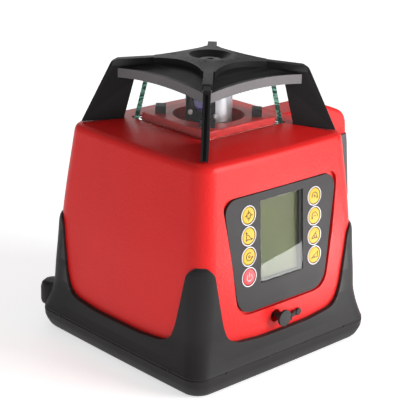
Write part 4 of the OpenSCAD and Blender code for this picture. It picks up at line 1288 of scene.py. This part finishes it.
class LEVEL_OT_battery(bpy.types.Operator):
    """Finishes the battery bay, its door and the two quarter-turn screws"""

    bl_idname = "level.battery"
    bl_label = "Battery bay"

    def execute(self, context):
        refine_node("battery_tray", finish("tray_grey"), 0.0003)
        refine_node("battery_cells", finish("cell_jacket"), 0.0006, 3)
        refine_node("battery_door", finish("door_black"), 0.0005, 3)
        refine_node("door_screw_left", finish("zinc_screw"), 0.0003)
        refine_node("door_screw_right", finish("zinc_screw"), 0.0003)
        return {"FINISHED"}


def handle_skin(name, pairs, half, radius):
    """A skin through rounded rectangular sections, each from its inner to its outer point."""
    rings = []
    for out, into in pairs:
        centre = (out + into) / 2
        reach = np.linalg.norm(out - into) / 2
        along = (out - into) / (2 * reach)
        ring = []
        for sx, sy, start in ((1, 1, 0), (-1, 1, 90), (-1, -1, 180), (1, -1, 270)):
            for step in range(7):
                a = math.radians(start + 15 * step)
                u = sx * (reach - radius) + radius * math.cos(a)
                v = sy * (half - radius) + radius * math.sin(a)
                spot = centre + along * u
                ring.append((spot[0] * MM, v * MM, spot[1] * MM))
        rings.append(ring)
    return loft(name, rings)


def crossing(path, height):
    """Where a path on the handle's outer limb passes a height."""
    for i in range(len(path) - 1):
        a, b = path[i], path[i + 1]
        if a[0] > 100 and (a[1] - height) * (b[1] - height) <= 0 and a[1] != b[1]:
            return i, a + (b - a) * (a[1] - height) / (a[1] - b[1])
    raise RuntimeError(f"the handle doesn't pass {height}")


class LEVEL_OT_handle(bpy.types.Operator):
    """Builds the carrying handle: two red brackets in one piece and the soft grip between them"""

    bl_idname = "level.handle"
    bl_label = "Carrying handle"

    def execute(self, context):
        outer = softened(HANDLE_OUTER, 8)
        inner = softened(HANDLE_INNER, 8)
        i_out, out_top = crossing(outer, GRIP_TOP)
        j_out, out_low = crossing(outer, GRIP_BOTTOM)
        out_grip = [out_top + (out_low - out_top) * t for t in np.linspace(0, 1, GRIP_SECTIONS)]
        in_top = np.array((GRIP_INNER_TOP, GRIP_TOP))
        in_low = np.array((GRIP_INNER_LOW, GRIP_BOTTOM))
        in_grip = [in_top + (in_low - in_top) * t for t in np.linspace(0, 1, GRIP_SECTIONS)]
        upper = list(zip(outer[: i_out + 1], inner[: i_out + 1])) + [(out_top, in_top)]
        lower = [(out_low, in_low)] + list(zip(outer[j_out + 1 :], inner[j_out + 1 :]))
        frame_piece = handle_skin("handle_frame_finish", upper, *BRACKET_SECTION)
        combine(frame_piece, handle_skin("lower_bracket", lower, *BRACKET_SECTION), "UNION")
        tool = loft("case_tool", shell_rings(CASE_STATIONS, CASE_SWELLS, grow=0.1))
        combine(frame_piece, tool, "DIFFERENCE")
        hand_over(frame_piece, finish("handle_red"), CASE, "handle_red", "handle_frame")
        pairs = []
        for k, (out, into) in enumerate(zip(out_grip, in_grip)):
            drawn = GRIP_DRAWN if k in (0, GRIP_SECTIONS - 1) else 0
            centre = (out + into) / 2
            pairs.append((out + (centre - out) * drawn, into + (centre - into) * drawn))
        grip = handle_skin("handle_grip_finish", pairs, *GRIP_SECTION)
        hand_over(grip, finish("grip_grey"), CASE, "grip_grey", "handle_grip", angle=45)
        return {"FINISHED"}


# Half the floor's side, in metres
FLOOR_HALF = 25
# The camera: azimuth, rise and roll in degrees, lens in millimetres, the rest in metres
CAMERA_TURNS = (-43.98, 19.45, 1.73)
CAMERA_LENS = 36 * 1352 / 420
CAMERA_ASIDE, CAMERA_AIM, CAMERA_BACK = 0.00278, 0.0853, 0.892
# Square lamps: name, place, aim and side in metres, power in watts
LAMPS = (
    ("key", (0.9, -1.6, 0.6), (0, 0, 0.08), 0.9, 34),
    ("left_fill", (-1.6, -0.5, 0.7), (0, 0, 0.08), 1.0, 1.6),
    ("back_fill", (0.9, 1.4, 0.9), (0, 0, 0.1), 0.9, 4),
)
# The low card lies beside the foot, faces up and shows only in gloss
CARD_LENGTH, CARD_WIDTH, CARD_POWER = 0.2, 0.07, 0.85
CARD_PLACE = Matrix.Translation((0.194, -0.217, 0.004)) @ Matrix.Rotation(math.radians(-16), 4, "Z")
CARD_PLACE = CARD_PLACE @ Matrix.Rotation(math.pi, 4, "X")


class LEVEL_OT_stage(bpy.types.Operator):
    """Sets the floor, the soft lights and the camera"""

    bl_idname = "level.stage"
    bl_label = "Stage"

    def execute(self, context):
        scene = context.scene
        corners = [(x * FLOOR_HALF, y * FLOOR_HALF, 0) for x, y in ((-1, -1), (1, -1), (1, 1), (-1, 1))]
        floor = mesh_object("floor", corners, [(0, 1, 2, 3)])
        pale, nodes, links = blank_material("pale_floor")
        surface = nodes.new("ShaderNodeBsdfPrincipled")
        surface.label = "Matt paper"
        surface.inputs["Base Color"].default_value = (0.9, 0.9, 0.9, 1)
        surface.inputs["Emission Color"].default_value = (1, 1, 1, 1)
        surface.inputs["Emission Strength"].default_value = 0.6
        surface.inputs["Roughness"].default_value = 0.9
        surface.inputs["Specular IOR Level"].default_value = 0.1
        out = nodes.new("ShaderNodeOutputMaterial")
        out.label = "Surface"
        links.new(surface.outputs["BSDF"], out.inputs["Surface"])
        lay_out(nodes)
        floor.data.materials.append(pale)
        world = bpy.data.worlds.new("Studio")
        world.use_nodes = True
        sky = world.node_tree.nodes["Background"]
        sky.label = "White room"
        sky.inputs["Color"].default_value = (1, 1, 1, 1)
        sky.inputs["Strength"].default_value = 0.27
        scene.world = world
        for name, spot, aim, size, power in LAMPS:
            lamp = bpy.data.lights.new(name, "AREA")
            lamp.shape = "SQUARE"
            lamp.size = size
            lamp.energy = power
            holder = bpy.data.objects.new(name, lamp)
            holder.location = spot
            holder.visible_camera = False
            holder.rotation_euler = (Vector(aim) - Vector(spot)).to_track_quat("-Z", "Y").to_euler()
            scene.collection.objects.link(holder)
        card = bpy.data.lights.new("low_card", "AREA")
        card.shape = "RECTANGLE"
        card.size, card.size_y = CARD_LENGTH, CARD_WIDTH
        card.energy = CARD_POWER
        holder = bpy.data.objects.new("low_card", card)
        holder.matrix_world = CARD_PLACE
        holder.visible_camera = False
        holder.visible_diffuse = False
        scene.collection.objects.link(holder)
        azimuth, rise, roll = (math.radians(turn) for turn in CAMERA_TURNS)
        right = Vector((math.cos(azimuth), math.sin(azimuth), 0))
        back = Vector((math.sin(azimuth), -math.cos(azimuth), math.tan(rise))) * math.cos(rise)
        up = back.cross(right)
        across = right * math.cos(roll) + up * math.sin(roll)
        upward = up * math.cos(roll) - right * math.sin(roll)
        camera = bpy.data.objects.new("camera", bpy.data.cameras.new("camera"))
        camera.data.lens = CAMERA_LENS
        camera.data.sensor_width = 36
        camera.data.clip_start = 0.01
        spot = right * CAMERA_ASIDE + Vector((0, 0, CAMERA_AIM)) + back * CAMERA_BACK
        camera.matrix_world = Matrix(
            [[across[i], upward[i], back[i], spot[i]] for i in range(3)] + [[0, 0, 0, 1]]
        )
        scene.collection.objects.link(camera)
        scene.camera = camera
        scene.view_settings.view_transform = "Standard"
        return {"FINISHED"}


STEPS = (
    LEVEL_OT_housing,
    LEVEL_OT_boot,
    LEVEL_OT_base,
    LEVEL_OT_canopy,
    LEVEL_OT_lantern,
    LEVEL_OT_keypad,
    LEVEL_OT_rotor,
    LEVEL_OT_gimbal,
    LEVEL_OT_battery,
    LEVEL_OT_handle,
    LEVEL_OT_stage,
)


class LEVEL_PT_pieces(bpy.types.Panel):
    """Lists the settings and the pieces"""

    bl_idname = "LEVEL_PT_pieces"
    bl_label = "Laser level"
    bl_space_type = "VIEW_3D"
    bl_region_type = "UI"
    bl_category = "Laser level"

    def draw(self, context):
        for group in (context.scene.level_sizes, context.scene.level_colours):
            for name in group.__annotations__:
                self.layout.prop(group, name)
        for step in STEPS:
            self.layout.operator(step.bl_idname)


CLASSES = (LevelSizes, LevelColours, *STEPS, LEVEL_PT_pieces)


def register():
    for cls in CLASSES:
        bpy.utils.register_class(cls)
    bpy.types.Scene.level_sizes = PointerProperty(type=LevelSizes)
    bpy.types.Scene.level_colours = PointerProperty(type=LevelColours)


def unregister():
    del bpy.types.Scene.level_colours
    del bpy.types.Scene.level_sizes
    for cls in reversed(CLASSES):
        bpy.utils.unregister_class(cls)


def main():
    """Builds every piece in order."""
    register()
    bpy.ops.level.housing()
    bpy.ops.level.boot()
    bpy.ops.level.base()
    bpy.ops.level.canopy()
    bpy.ops.level.lantern()
    bpy.ops.level.keypad()
    bpy.ops.level.rotor()
    bpy.ops.level.gimbal()
    bpy.ops.level.battery()
    bpy.ops.level.handle()
    bpy.ops.level.stage()


if __name__ == "__main__":
    main()
